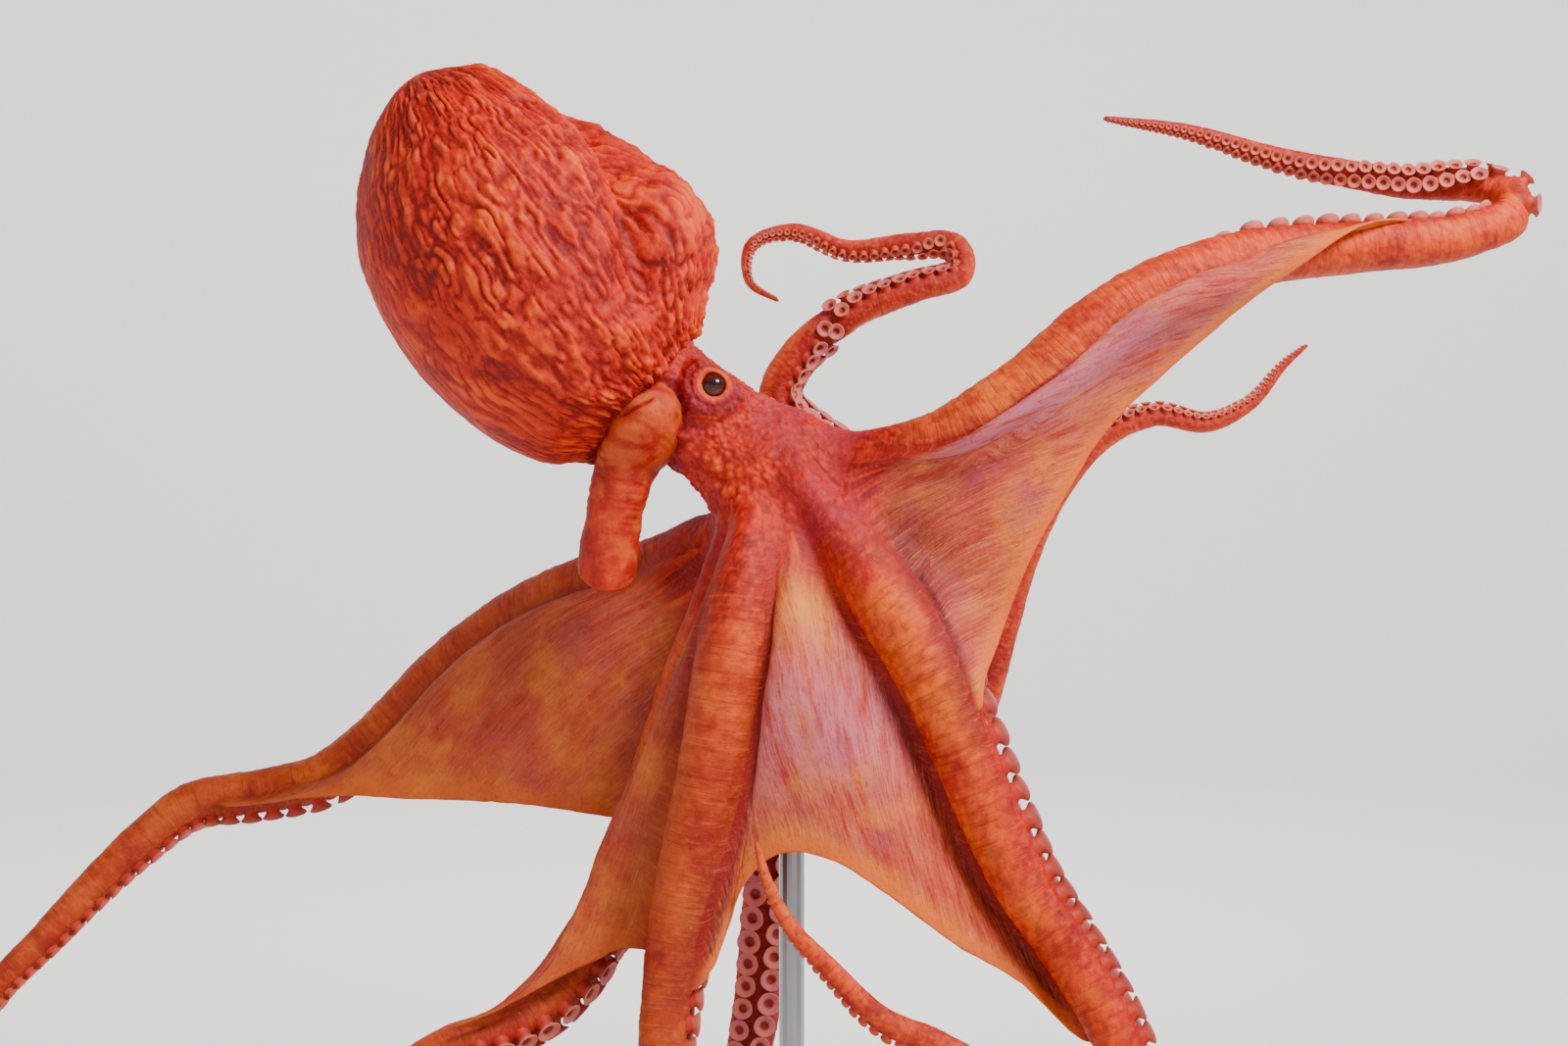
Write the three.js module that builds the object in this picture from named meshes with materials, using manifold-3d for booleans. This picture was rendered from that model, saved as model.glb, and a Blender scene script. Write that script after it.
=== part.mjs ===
// Giant Pacific octopus, swimming, as a life-size display model on a plain stand.
// Millimetres, +Z up. The origin is the middle of the underside of the stand's base.
// The mantle leans up and to -X, the arms fan out from the crown, and the right side faces -Y.
import * as THREE from 'three'
import Module from 'manifold-3d'

const wasm = await Module()
wasm.setup()

// Driving sizes
const gap = 0.3 // left between any two touching pieces
const tidy = 0.1 // largest step of a surface that is smoothed away
const snap = 1 / 64 // spacing the corners are rounded to
const crownX = 85
const crownZ = 963
const crownRing = 48 // from the crown's axis to the root of each arm
const crownLean = 38.3 // of the crown's axis from straight down, toward +X
const armRoot = 38 // an arm's radius where it is thickest
const armTip = 2
const armTaper = 0.72
const rootBlend = 190 // length over which an arm swells out of the crown
const armSides = 8
const ringSpace = 72 // between an arm's rings where it runs straight
const ringTurn = 32 // degrees of bend that call for one more ring
const cuts = [0, 0.24, 0.5, 0.75, 1] // where an arm is divided, as shares of its length
const parts = ['root', 'upper', 'lower', 'tip']
const webSheet = 5 // thickness of a web
const eyeRadius = 17
const eyeX = 19
const eyeZ = 1066
const eyeSide = 51
const baseLong = 760
const baseDeep = 520
const baseThick = 26
const baseCorner = 70
const rodRadius = 13

const colours = {
  mantle: 0xb8321a,
  head: 0xa52c1c,
  arm: 0xc4512c,
  web: 0xcf6f52,
  siphon: 0xa8361c,
  eye: 0x1a0d0b,
  stand: 0x2f3236,
}

const deg = Math.PI / 180
const crown = new THREE.Vector3(crownX, 0, crownZ)
const forward = new THREE.Vector3(Math.sin(crownLean * deg), 0, -Math.cos(crownLean * deg))
const dorsal = new THREE.Vector3(Math.cos(crownLean * deg), 0, Math.sin(crownLean * deg))
const rightward = new THREE.Vector3(0, -1, 0)

// Arms in order round the crown, from the dorsal right one to the dorsal left one.
// route: where the arm's middle runs, after its root on the crown.
// looks: which way the suckers face, as [distance along the arm, x, y, z].
// webTo: how far out the web to the next arm and the web to the one before are joined to it.
// suckers: where its modelled large suckers start and how many there are in each of two rows.
const arms = [
  {
    name: 'arm_right_1',
    route: [
      [188, -58, 997], [260, -76, 1015], [331, -90, 1062], [394, -92, 1119], [458, -85, 1160],
      [547, -70, 1192], [658, -56, 1206], [757, -50, 1215], [815, -40, 1234], [831, -20, 1258],
      [804, -2, 1274], [722, 10, 1279], [602, 12, 1302], [502, 10, 1331], [414, 6, 1344],
    ],
    looks: [
      [0, 0, 0, -1], [150, 0, 0.45, -0.9], [400, 0, 0.8, -0.6], [560, 0, 0.8, 0.6],
      [770, 0.2, 0.85, 0.5], [812, 0.9, 0, 0.2], [860, 0.5, -0.7, 0.5], [940, 0.1, -0.95, 0.15],
      [1050, 0, -0.85, -0.5], [1250, 0, -0.85, -0.5],
    ],
    webTo: [780, 290],
    suckers: [510, 3],
  },
  {
    name: 'arm_right_2',
    route: [
      [138, -82, 929], [181, -100, 868], [224, -110, 804], [257, -118, 733], [288, -122, 657],
      [323, -125, 581], [366, -130, 517], [402, -140, 456], [427, -150, 391], [430, -175, 332],
      [394, -205, 290], [342, -240, 309], [313, -265, 367], [277, -280, 422], [228, -288, 457],
      [179, -292, 480], [134, -295, 524], [94, -295, 568], [75, -293, 605], [64, -290, 644],
    ],
    looks: [
      [0, -0.3, 0.95, -0.2], [150, 0.3, 0.93, 0.15], [300, 0.75, 0.6, 0.35],
      [600, 0.85, 0.35, 0.4], [750, 0.7, 0.5, -0.5], [820, 0, 0.2, -1], [900, -0.9, 0.3, -0.3],
      [1050, -0.4, 0.6, -0.7], [1345, -0.5, 0.85, 0],
    ],
    webTo: [640, 300],
    suckers: [320, 6],
  },
  {
    name: 'arm_right_3',
    route: [
      [57, -85, 904], [46, -105, 842], [34, -112, 771], [20, -112, 694], [3, -108, 617],
      [-11, -105, 550], [-21, -105, 482], [-27, -112, 417], [-30, -128, 344], [-22, -150, 274],
      [2, -175, 215], [48, -198, 176], [107, -214, 170], [159, -222, 202], [182, -220, 254],
      [167, -212, 301], [131, -204, 316], [104, -198, 294],
    ],
    looks: [
      [0, 0.3, 0.92, 0.24], [300, 0.4, 0.9, 0], [450, 0.85, 0.5, 0], [650, 0.9, 0.3, 0.2],
      [850, 0.2, 0.1, 0.95], [1020, -0.9, 0.1, 0.2], [1155, 0, 0.2, -0.9],
    ],
    webTo: [475, 505],
    suckers: [450, 2],
  },
  {
    name: 'arm_right_4',
    route: [
      [29, -25, 864], [2, -10, 774], [-30, 10, 683], [-63, 20, 596], [-98, 5, 513],
      [-140, -20, 452], [-193, -45, 420], [-246, -70, 406], [-289, -85, 377], [-317, -90, 325],
      [-336, -85, 261], [-346, -70, 194], [-330, -50, 134], [-291, -30, 101], [-247, -10, 107],
      [-226, 5, 144], [-244, 15, 179],
    ],
    looks: [
      [0, 0.8, 0.35, 0.2], [270, 0.75, 0.3, -0.3], [430, 0.6, -0.1, -0.7],
      [560, 0.4, -0.4, -0.85], [690, 0.8, -0.4, -0.4], [840, 0.9, -0.3, 0.1],
      [1000, 0.3, 0.2, 0.9], [1100, -0.7, 0.1, 0.6], [1170, -0.6, 0, -0.7],
    ],
    webTo: [345, 620],
    suckers: [450, 2],
  },
  {
    name: 'arm_left_4',
    route: [
      [-8, 70, 903], [-67, 115, 874], [-138, 155, 854], [-216, 195, 816], [-292, 222, 760],
      [-357, 232, 696], [-422, 230, 648], [-494, 222, 632], [-563, 205, 621], [-618, 188, 578],
      [-666, 170, 529], [-710, 155, 480], [-755, 145, 432], [-790, 140, 370], [-786, 145, 300],
      [-736, 155, 258], [-681, 165, 274], [-672, 170, 321],
    ],
    looks: [
      [0, 0.6, -0.4, -0.6], [160, 0.1, 0.3, -0.95], [700, 0.1, 0.45, -0.9],
      [980, 0.6, 0.3, -0.75], [1120, 0.95, 0.1, 0], [1230, 0, 0, 1], [1358, -0.8, 0, 0.3],
    ],
    webTo: [420, 735],
    suckers: [380, 2],
  },
  {
    name: 'arm_left_3',
    route: [
      [90, 110, 871], [98, 155, 775], [92, 178, 677], [81, 188, 580], [70, 190, 483],
      [58, 188, 387], [38, 192, 300], [6, 208, 219], [-41, 238, 153], [-100, 278, 106],
      [-166, 318, 87], [-218, 345, 116], [-228, 352, 168], [-199, 350, 196], [-165, 345, 181],
    ],
    looks: [
      [0, 0.3, -0.92, 0.24], [300, 0, -1, 0], [650, -0.1, -1, 0], [860, -0.7, -0.5, 0.5],
      [1000, 0, 0, 1], [1150, 0.9, 0, 0.3], [1239, -0.3, 0, -0.9],
    ],
    webTo: [300, 360],
    suckers: [400, 3],
  },
  {
    name: 'arm_left_2',
    route: [
      [137, 140, 870], [182, 225, 760], [235, 300, 672], [289, 360, 666], [320, 395, 732],
      [347, 410, 818], [374, 412, 899], [414, 410, 975], [466, 408, 1032], [527, 406, 1057],
      [590, 410, 1048], [644, 420, 1073], [683, 430, 1117], [715, 435, 1144],
    ],
    looks: [
      [0, -0.3, -0.92, -0.24], [290, 0, -0.6, 0.8], [450, -0.4, -0.4, 0.8], [600, -0.9, -0.4, 0],
      [850, -0.9, -0.3, 0.3], [1000, -0.3, -0.4, 0.85], [1220, -0.3, -0.4, 0.85],
    ],
    webTo: [270, 310],
    suckers: [340, 2],
  },
  {
    name: 'arm_left_1',
    route: [
      [178, 100, 996], [250, 180, 989], [316, 265, 978], [340, 350, 968], [294, 430, 963],
      [214, 480, 982], [132, 500, 1030], [84, 500, 1083], [108, 495, 1134], [173, 490, 1186],
      [250, 490, 1216], [304, 495, 1234], [299, 500, 1266], [239, 505, 1269], [168, 505, 1263],
      [102, 500, 1285], [50, 492, 1267], [48, 485, 1222], [86, 480, 1197],
    ],
    looks: [
      [0, 0, 0, -1], [300, -0.3, 0.1, -0.95], [600, 0.4, -0.6, 0.6], [800, 0.9, -0.2, 0.1],
      [1000, -0.2, -0.3, 0.9], [1080, -0.9, -0.2, 0], [1200, 0, -0.3, -0.9],
      [1390, 0.8, -0.3, 0.3], [1438, 0, -0.3, 0.9],
    ],
    webTo: [280, 270],
    suckers: [340, 2],
  },
]

// Free edges of the four webs on the near side, from the first arm to the next one.
// The other four are drawn in by webSag instead.
const hems = {
  arm_right_1: [
    [747, -80, 1240], [667, -90, 1227], [600, -98, 1185], [537, -98, 1140], [472, -95, 1084],
    [406, -92, 1020], [365, -95, 955], [326, -100, 885], [303, -104, 823],
  ],
  arm_right_2: [
    [375, -130, 432], [318, -130, 486], [259, -134, 520], [191, -142, 571], [137, -142, 605],
    [90, -132, 612], [59, -120, 590], [40, -112, 551], [27, -106, 511],
  ],
  arm_right_3: [
    [-74, -62, 506], [-95, -62, 496], [-131, -68, 480], [-161, -76, 465], [-199, -92, 447],
    [-235, -102, 436],
  ],
  arm_right_4: [
    [-82, 32, 624], [-160, 70, 633], [-237, 100, 636], [-317, 130, 635], [-398, 155, 636],
    [-474, 170, 626], [-532, 180, 612],
  ],
}
const webSag = 0.3
const webSwell = { arm_right_1: 6, arm_right_2: 26, arm_right_3: 8, arm_right_4: 12 }
const webHold = { arm_right_1: 3 } // how late this web leaves a straight line for its free edge
const webStart = { arm_left_3: 130 } // how far along the arms a web begins, where it isn't 60
const webTurn = [50, 105] // how far round an arm a web may be rooted, from its outer face
const webRows = [0, 0.19, 0.41, 0.63, 0.84, 1] // outward along the arms
const webColumns = [0.17, 0.5, 0.83] // from the arm to the next one

// Body sections from the apex of the mantle to the crown:
// [x, z, reach to the back, reach to the belly, reach to each side]
const mantleSections = [
  [-285, 1383, 0, 0, 0], [-281, 1377, 30, 30, 28], [-272, 1363, 60, 62, 56],
  [-256, 1340, 86, 100, 88], [-220, 1283, 117, 146, 128], [-192, 1238, 142, 158, 144],
  [-165, 1195, 160, 161, 152], [-138, 1158, 169, 160, 153], [-112, 1122, 162, 150, 146],
  [-84, 1090, 136, 128, 124], [-62, 1070, 107, 102, 96], [-46, 1058, 84, 80, 74],
]
const headSections = [
  [-46, 1058, 74, 70, 66], [-22, 1044, 64, 58, 58], [5, 1028, 60, 50, 56],
  [28, 1011, 62, 50, 60], [48, 995, 72, 56, 68], [70, 976, 84, 68, 78],
]
const crownSections = [
  [70, 976, 84, 68, 78], [86, 962, 88, 76, 84], [100, 944, 82, 76, 80], [113, 927, 60, 56, 58],
  [120, 917, 28, 26, 27],
]
const grooveTurn = 54 // from the middle of the back to each groove of the mantle
const grooveDepth = 0.13

const vec = (p) => new THREE.Vector3(p[0], p[1], p[2])
const mix = (a, b, t) => a + (b - a) * t
const step = (x) => {
  const t = Math.min(Math.max(x, 0), 1)
  return t * t * (3 - 2 * t)
}

// Solids and booleans
function solidOf(points, faces) {
  const mesh = new wasm.Mesh({
    numProp: 3,
    vertProperties: new Float32Array(points.flatMap((p) => [p.x, p.y, p.z])),
    triVerts: new Uint32Array(faces.flat()),
  })
  mesh.merge()
  return new wasm.Manifold(mesh)
}

// A closed skin over rings of points, each ring with the same count, ends capped
function overRings(rings) {
  const n = rings[0].length
  const points = rings.flat()
  const faces = []
  for (let i = 0; i + 1 < rings.length; i++) {
    for (let j = 0; j < n; j++) {
      const a = i * n + j
      const b = i * n + ((j + 1) % n)
      faces.push([a, b, b + n], [a, b + n, a + n])
    }
  }
  const middle = (ring) => ring.reduce((sum, p) => sum.add(p), new THREE.Vector3()).divideScalar(n)
  const start = points.push(middle(rings[0])) - 1
  const end = points.push(middle(rings[rings.length - 1])) - 1
  const last = (rings.length - 1) * n
  for (let j = 0; j < n; j++) {
    faces.push([start, (j + 1) % n, j], [end, last + j, last + ((j + 1) % n)])
  }
  return solidOf(points, faces)
}

function solidFromGeometry(geometry) {
  const at = geometry.getAttribute('position')
  const points = Array.from({ length: at.count }, (_, i) => new THREE.Vector3().fromBufferAttribute(at, i))
  const index = geometry.index ? Array.from(geometry.index.array) : points.map((_, i) => i)
  const faces = []
  for (let i = 0; i < index.length; i += 3) faces.push(index.slice(i, i + 3))
  return solidOf(points, faces)
}

// The same solid with its smallest steps smoothed away and its corners on a fine even spacing
function settled(solid) {
  const mesh = solid.simplify(tidy).getMesh()
  const at = (i, k) => Math.round(mesh.vertProperties[i * mesh.numProp + k] / snap) * snap
  const count = mesh.vertProperties.length / mesh.numProp
  const points = Array.from({ length: count }, (_, i) => new THREE.Vector3(at(i, 0), at(i, 1), at(i, 2)))
  const faces = Array.from({ length: mesh.triVerts.length / 3 }, (_, i) => [0, 1, 2].map((k) => mesh.triVerts[i * 3 + k]))
  return solidOf(points, faces)
}

function geometryFromSolid(solid) {
  const mesh = solid.getMesh()
  const geometry = new THREE.BufferGeometry()
  const at = []
  for (let i = 0; i < mesh.vertProperties.length; i += mesh.numProp) {
    at.push(mesh.vertProperties[i], mesh.vertProperties[i + 1], mesh.vertProperties[i + 2])
  }
  geometry.setAttribute('position', new THREE.Float32BufferAttribute(at, 3))
  geometry.setIndex(Array.from(mesh.triVerts))
  return geometry
}

// Arm frames: middle, heading, way the suckers face, and way to the next arm round the crown
arms.forEach((arm, k) => {
  const turn = (22.5 + 45 * k) * deg
  const out = dorsal.clone().multiplyScalar(Math.cos(turn))
  out.addScaledVector(rightward, Math.sin(turn))
  arm.root = crown.clone().addScaledVector(out, crownRing)
  arm.curve = new THREE.CatmullRomCurve3([arm.root, ...arm.route.map(vec)], false, 'centripetal')
  arm.curve.arcLengthDivisions = 600
  arm.length = arm.curve.getLength()
})

function frameOf(arm, along) {
  const t = Math.min(Math.max(along / arm.length, 0), 1)
  const middle = arm.curve.getPointAt(t)
  const heading = arm.curve.getTangentAt(t)
  const looks = arm.looks
  let i = 0
  while (i < looks.length - 2 && looks[i + 1][0] < along) i++
  const part = step((along - looks[i][0]) / (looks[i + 1][0] - looks[i][0]))
  const under = new THREE.Vector3(...looks[i].slice(1)).normalize()
  under.lerp(new THREE.Vector3(...looks[i + 1].slice(1)).normalize(), part)
  under.addScaledVector(heading, -under.dot(heading)).normalize()
  const toNext = new THREE.Vector3().crossVectors(under, heading)
  return { middle, heading, under, toNext }
}

function armWidth(arm, along) {
  const left = Math.max(1 - along / arm.length, 0)
  const full = armTip + armRoot * left ** armTaper
  return full * mix(0.42, 1, step(along / rootBlend))
}

function armHeight(arm, along) {
  const left = Math.max(1 - along / arm.length, 0)
  return (armTip + armRoot * left ** armTaper) * mix(0.8, 1, step(along / rootBlend))
}

function armPoint(arm, along, turn, extra) {
  const f = frameOf(arm, along)
  const c = Math.cos(turn * deg)
  const high = armHeight(arm, along) * (c > 0 ? 1 : 0.78) + extra
  const wide = armWidth(arm, along) + extra
  const point = f.middle.clone().addScaledVector(f.under, -c * high)
  return point.addScaledVector(f.toNext, Math.sin(turn * deg) * wide)
}

// An arm is cut into four lengths. Each has its own evenly spaced rings.
function ringStops(arm, i, ends) {
  const from = arm.length * cuts[i]
  const to = arm.length * cuts[i + 1]
  const trail = [0]
  for (let k = 0; k < 60; k++) {
    const here = arm.curve.getTangentAt(mix(from, to, k / 60) / arm.length)
    const there = arm.curve.getTangentAt(mix(from, to, (k + 1) / 60) / arm.length)
    trail.push(trail[k] + (to - from) / 60 / ringSpace + here.angleTo(there) / deg / ringTurn)
  }
  const count = Math.max(Math.round(trail[60]), 3)
  return Array.from({ length: count + 1 }, (_, k) => {
    if (k === 0) return from + (i > 0 ? ends : 0)
    if (k === count) return to - (i < 3 ? ends : 0)
    const wanted = (trail[60] * k) / count
    const after = trail.findIndex((t) => t >= wanted)
    const part = (wanted - trail[after - 1]) / (trail[after] - trail[after - 1])
    return mix(from, to, (after - 1 + part) / 60)
  })
}

function armSolid(arm, stops, extra) {
  return overRings(stops.map((along) => Array.from(
    { length: armSides },
    (_, j) => armPoint(arm, along, (360 / armSides) * (j + 0.5), extra),
  )))
}

function suckerPitch(arm, along) {
  return armWidth(arm, along) * 0.86 + 1.5
}

// The large suckers of one length of an arm, as short flared cups
function suckersOn(arm, from, to, extra) {
  const cups = []
  for (const side of [-1, 1]) {
    let along = arm.suckers[0] + (side > 0 ? 13 : 0)
    for (let i = 0; i < arm.suckers[1]; i++) {
      const wide = armWidth(arm, along)
      if (along > from + wide * 0.5 && along < to - wide * 0.5) {
        const f = frameOf(arm, along)
        const size = [wide * 0.4 + extra, wide * 0.26 + extra, wide * 0.5 + extra * 2]
        const cup = new THREE.CylinderGeometry(...size, 5, 1)
        cup.rotateX(90 * deg)
        const place = new THREE.Matrix4().makeBasis(f.heading, f.toNext, f.under)
        if (place.determinant() < 0) place.makeBasis(f.heading.clone().negate(), f.toNext, f.under)
        const foot = f.middle.clone().addScaledVector(f.under, wide * 0.83)
        foot.addScaledVector(f.toNext, side * wide * 0.42)
        place.setPosition(foot)
        cup.applyMatrix4(place)
        cups.push(solidFromGeometry(cup))
      }
      along += suckerPitch(arm, along)
    }
  }
  return cups
}

// Body sections swept along the line of their middles
function bodySection(rows, i, sides, extra) {
  const at = (k) => rows[Math.min(Math.max(k, 0), rows.length - 1)]
  const ahead = new THREE.Vector3(at(i + 1)[0] - at(i - 1)[0], 0, at(i + 1)[1] - at(i - 1)[1]).normalize()
  const back = new THREE.Vector3(-ahead.z, 0, ahead.x)
  const [x, z, toBack, toBelly, toSide] = rows[i]
  const ring = []
  for (let j = 0; j < sides; j++) {
    const turn = (360 / sides) * j
    const c = Math.cos(turn * deg)
    const fold = Math.abs(turn > 180 ? 360 - turn : turn) - grooveTurn
    const open = rows === mantleSections ? step(i / 2) * (1 - step((i - 6) / 5)) : 0
    const dip = 1 - grooveDepth * open * Math.exp(-((fold / 15) ** 2))
    const reach = ((c > 0 ? toBack : toBelly) + extra) * dip
    const point = new THREE.Vector3(x, 0, z).addScaledVector(back, c * reach)
    ring.push(point.addScaledVector(rightward, Math.sin(turn * deg) * (toSide + extra) * dip))
  }
  return ring
}

function bodySolid(rows, sides, extra) {
  const from = rows[0][2] === 0 ? 1 : 0
  const rings = []
  for (let i = from; i < rows.length; i++) rings.push(bodySection(rows, i, sides, extra))
  const middle = (i) => new THREE.Vector3(rows[i][0], 0, rows[i][1])
  const last = rows.length - 1
  const ending = middle(last).sub(middle(last - 1)).setLength(extra)
  rings[rings.length - 1].forEach((p) => p.add(ending))
  const starting = middle(0).sub(middle(1)).setLength(extra)
  rings[0].forEach((p) => p.add(starting))
  return overRings(rings)
}

function ellipsoid(x, y, z, rx, ry, rz, lean, around, down) {
  const ball = new THREE.SphereGeometry(1, around, down)
  ball.scale(rx, ry, rz)
  ball.rotateY(lean * deg)
  ball.translate(x, y, z)
  return solidFromGeometry(ball)
}

// A web between one arm and the next: a sheet stretched over its two arms and its free edge.
// Its sides leave each arm squarely, rooted inside it, wherever round the arm the sheet comes from.
function webGrid(arm, next) {
  const from = arm.webTo[0]
  const to = next.webTo[1]
  const lag = Math.log2(from / to) / 2 // the longer side starts off slower
  const start = webStart[arm.name] ?? 60
  const alongArm = (v) => mix(start, from, v ** (1 + Math.max(lag, 0)))
  const alongNext = (v) => mix(start, to, v ** (1 - Math.min(lag, 0)))
  const side = (v) => armPoint(arm, alongArm(v), 90, 0)
  const farSide = (v) => armPoint(next, alongNext(v), 270, 0)
  const hem = hems[arm.name]
  const edge = hem && new THREE.CatmullRomCurve3([side(1), ...hem.map(vec), farSide(1)], false, 'centripetal')
  const edgeAt = (u) => {
    if (edge) return edge.getPointAt(u)
    const drawn = 1 - webSag * 4 * u * (1 - u)
    return side(drawn).lerp(farSide(drawn), u)
  }
  const sheet = (u, v) => {
    const p = side(v).lerp(farSide(v), u)
    const pull = v ** mix(webHold[arm.name] ?? 1, 1, step(u / 0.5))
    p.addScaledVector(edgeAt(u).sub(side(1).lerp(farSide(1), u)), pull)
    const swell = (webSwell[arm.name] ?? 10) * 4 * u * (1 - u) * Math.sin(Math.PI * Math.sqrt(v))
    const outward = frameOf(arm, alongArm(v)).under.lerp(frameOf(next, alongNext(v)).under, u).normalize()
    return p.addScaledVector(outward, -swell)
  }
  const rooted = (which, along, toward, sign) => {
    const f = frameOf(which, along)
    const offset = toward.sub(f.middle)
    const aside = Math.max(offset.dot(f.toNext) * sign, 0)
    const turn = Math.min(Math.max(Math.atan2(aside, -offset.dot(f.under)) / deg, webTurn[0]), webTurn[1])
    return [-9, 5].map((out) => armPoint(which, along, turn * sign, out))
  }
  // A point that would fall inside an arm is moved out of it, to its side or its outer face
  const keepOff = (p, which, reach) => {
    let nearest = 0
    for (let along = 0; along < reach * 1.1; along += 10) {
      const closer = p.distanceTo(which.curve.getPointAt(along / which.length))
      if (closer < p.distanceTo(which.curve.getPointAt(nearest / which.length))) nearest = along
    }
    const f = frameOf(which, nearest)
    const offset = p.clone().sub(f.middle)
    const need = armWidth(which, nearest) + 8
    const away = Math.hypot(offset.dot(f.toNext), offset.dot(f.under))
    if (away >= need) return p
    const turn = Math.atan2(Math.max(-offset.dot(f.under), 0), offset.dot(f.toNext))
    p.copy(f.middle).addScaledVector(f.toNext, need * Math.cos(turn))
    return p.addScaledVector(f.under, -need * Math.sin(turn))
  }
  return webRows.map((v) => {
    const inner = webColumns.map((u) => keepOff(keepOff(sheet(u, v), arm, from), next, to))
    const near = rooted(arm, alongArm(v), inner[0].clone(), 1)
    const far = rooted(next, alongNext(v), inner[inner.length - 1].clone(), -1)
    return [...near, ...inner, ...far.reverse()]
  })
}

function webSolid(arm, next) {
  const grid = webGrid(arm, next)
  const rows = grid.length
  const columns = grid[0].length
  const points = []
  for (const face of [0.5, -0.5]) {
    for (let i = 0; i < rows; i++) {
      for (let j = 0; j < columns; j++) {
        const across = grid[i][Math.min(j + 1, columns - 1)].clone().sub(grid[i][Math.max(j - 1, 0)])
        const out = grid[Math.min(i + 1, rows - 1)][j].clone().sub(grid[Math.max(i - 1, 0)][j])
        const normal = new THREE.Vector3().crossVectors(across, out).normalize()
        points.push(grid[i][j].clone().addScaledVector(normal, face * webSheet))
      }
    }
  }
  const faces = []
  const under = rows * columns
  const quad = (a, b, c, d) => faces.push([a, b, c], [a, c, d])
  for (let i = 0; i + 1 < rows; i++) {
    for (let j = 0; j + 1 < columns; j++) {
      const a = i * columns + j
      quad(a, a + 1, a + columns + 1, a + columns)
      quad(under + a, under + a + columns, under + a + columns + 1, under + a + 1)
    }
  }
  const rim = []
  for (let j = 0; j < columns - 1; j++) rim.push(j)
  for (let i = 0; i < rows - 1; i++) rim.push(i * columns + columns - 1)
  for (let j = columns - 1; j > 0; j--) rim.push((rows - 1) * columns + j)
  for (let i = rows - 1; i > 0; i--) rim.push(i * columns)
  rim.forEach((a, i) => {
    const b = rim[(i + 1) % rim.length]
    quad(b, a, under + a, under + b)
  })
  return solidOf(points, faces)
}

// Funnel: a bent tube from under the mantle's edge, with an open mouth
function funnelSolid(extra) {
  const line = new THREE.CatmullRomCurve3(
    [[-38, 0, 1040], [-62, -4, 1005], [-78, -9, 955], [-86, -12, 905], [-88, -12, 876]].map(vec),
  )
  const radii = [44, 38, 33, 31, 30, 31, 29]
  const tube = (list, from, to, sides) => overRings(list.map((radius, i) => {
    const t = mix(from, to, i / (list.length - 1))
    const at = line.getPointAt(Math.min(t, 1))
    const heading = line.getTangentAt(Math.min(t, 1))
    if (t > 1) at.addScaledVector(heading, (t - 1) * line.getLength())
    if (t === 0) at.addScaledVector(heading, -extra)
    const wide = new THREE.Vector3(0, 1, 0)
    wide.addScaledVector(heading, -wide.dot(heading)).normalize()
    const deep = new THREE.Vector3().crossVectors(heading, wide)
    return Array.from({ length: sides }, (_, j) => at.clone()
      .addScaledVector(wide, Math.cos((360 / sides) * j * deg) * radius)
      .addScaledVector(deep, Math.sin((360 / sides) * j * deg) * radius))
  }))
  const outside = tube(radii.map((r) => r + extra), 0, 1, 10)
  const bulge = ellipsoid(-50, 0, 1025, 36 + extra, 74 + extra, 43 + extra, 0, 10, 6)
  const whole = outside.add(bulge)
  return extra ? whole : whole.subtract(tube([18, 23, 25], 0.62, 1.06, 8))
}

// Stand
function standBase() {
  const x = baseLong / 2 - baseCorner
  const y = baseDeep / 2 - baseCorner
  const plan = new THREE.Shape()
  plan.absarc(x, y, baseCorner, 0, 90 * deg)
  plan.absarc(-x, y, baseCorner, 90 * deg, 180 * deg)
  plan.absarc(-x, -y, baseCorner, 180 * deg, 270 * deg)
  plan.absarc(x, -y, baseCorner, 270 * deg, 360 * deg)
  const plate = new THREE.ExtrudeGeometry(plan, {
    depth: baseThick - 3,
    bevelThickness: 3,
    bevelSize: 3,
    bevelOffset: -3,
    bevelSegments: 1,
    curveSegments: 4,
  })
  const above = wasm.Manifold.cube([baseLong * 2, baseDeep * 2, baseThick * 2], true)
  return solidFromGeometry(plate).intersect(above.translate([0, 0, baseThick]))
}

function rodSolid(x, y, from, to) {
  const rod = new THREE.CylinderGeometry(rodRadius, rodRadius, to - from, 16, 1)
  rod.rotateX(90 * deg)
  rod.translate(x, y, (from + to) / 2)
  return solidFromGeometry(rod)
}

// Everything, in the order in which pieces give way to one another
const pieces = []
const keep = (name, solid, colour) => pieces.push({ name, solid: settled(solid), colour })
const bodySides = 16

const headGrown = (extra) => {
  let head = bodySolid(headSections, bodySides, extra)
  for (const y of [-1, 1]) {
    head = head.add(ellipsoid(eyeX, y * 32, eyeZ - 3, 40 + extra, 31 + extra, 37 + extra, 35, 8, 6))
  }
  return head
}
const eyeBall = (side, extra) => ellipsoid(
  eyeX, side * eyeSide, eyeZ, eyeRadius + extra, eyeRadius + extra, eyeRadius + extra, 0, 10, 7,
)
const cutPlaneGap = (rows, which) => {
  const a = rows[which]
  const b = rows[which === 0 ? 1 : rows.length - 2]
  const way = new THREE.Vector3(b[0] - a[0], 0, b[1] - a[1]).normalize()
  return { way, at: way.dot(new THREE.Vector3(a[0], 0, a[1])) + gap }
}

const mantle = bodySolid(mantleSections, bodySides, 0)
const mantleGrown = bodySolid(mantleSections, bodySides, gap)
const funnelRaw = funnelSolid(0)
const funnelGrown = funnelSolid(gap * 1.6)
const crownSolid = bodySolid(crownSections, bodySides, 0)
const crownGrown = bodySolid(crownSections, bodySides, gap)

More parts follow.
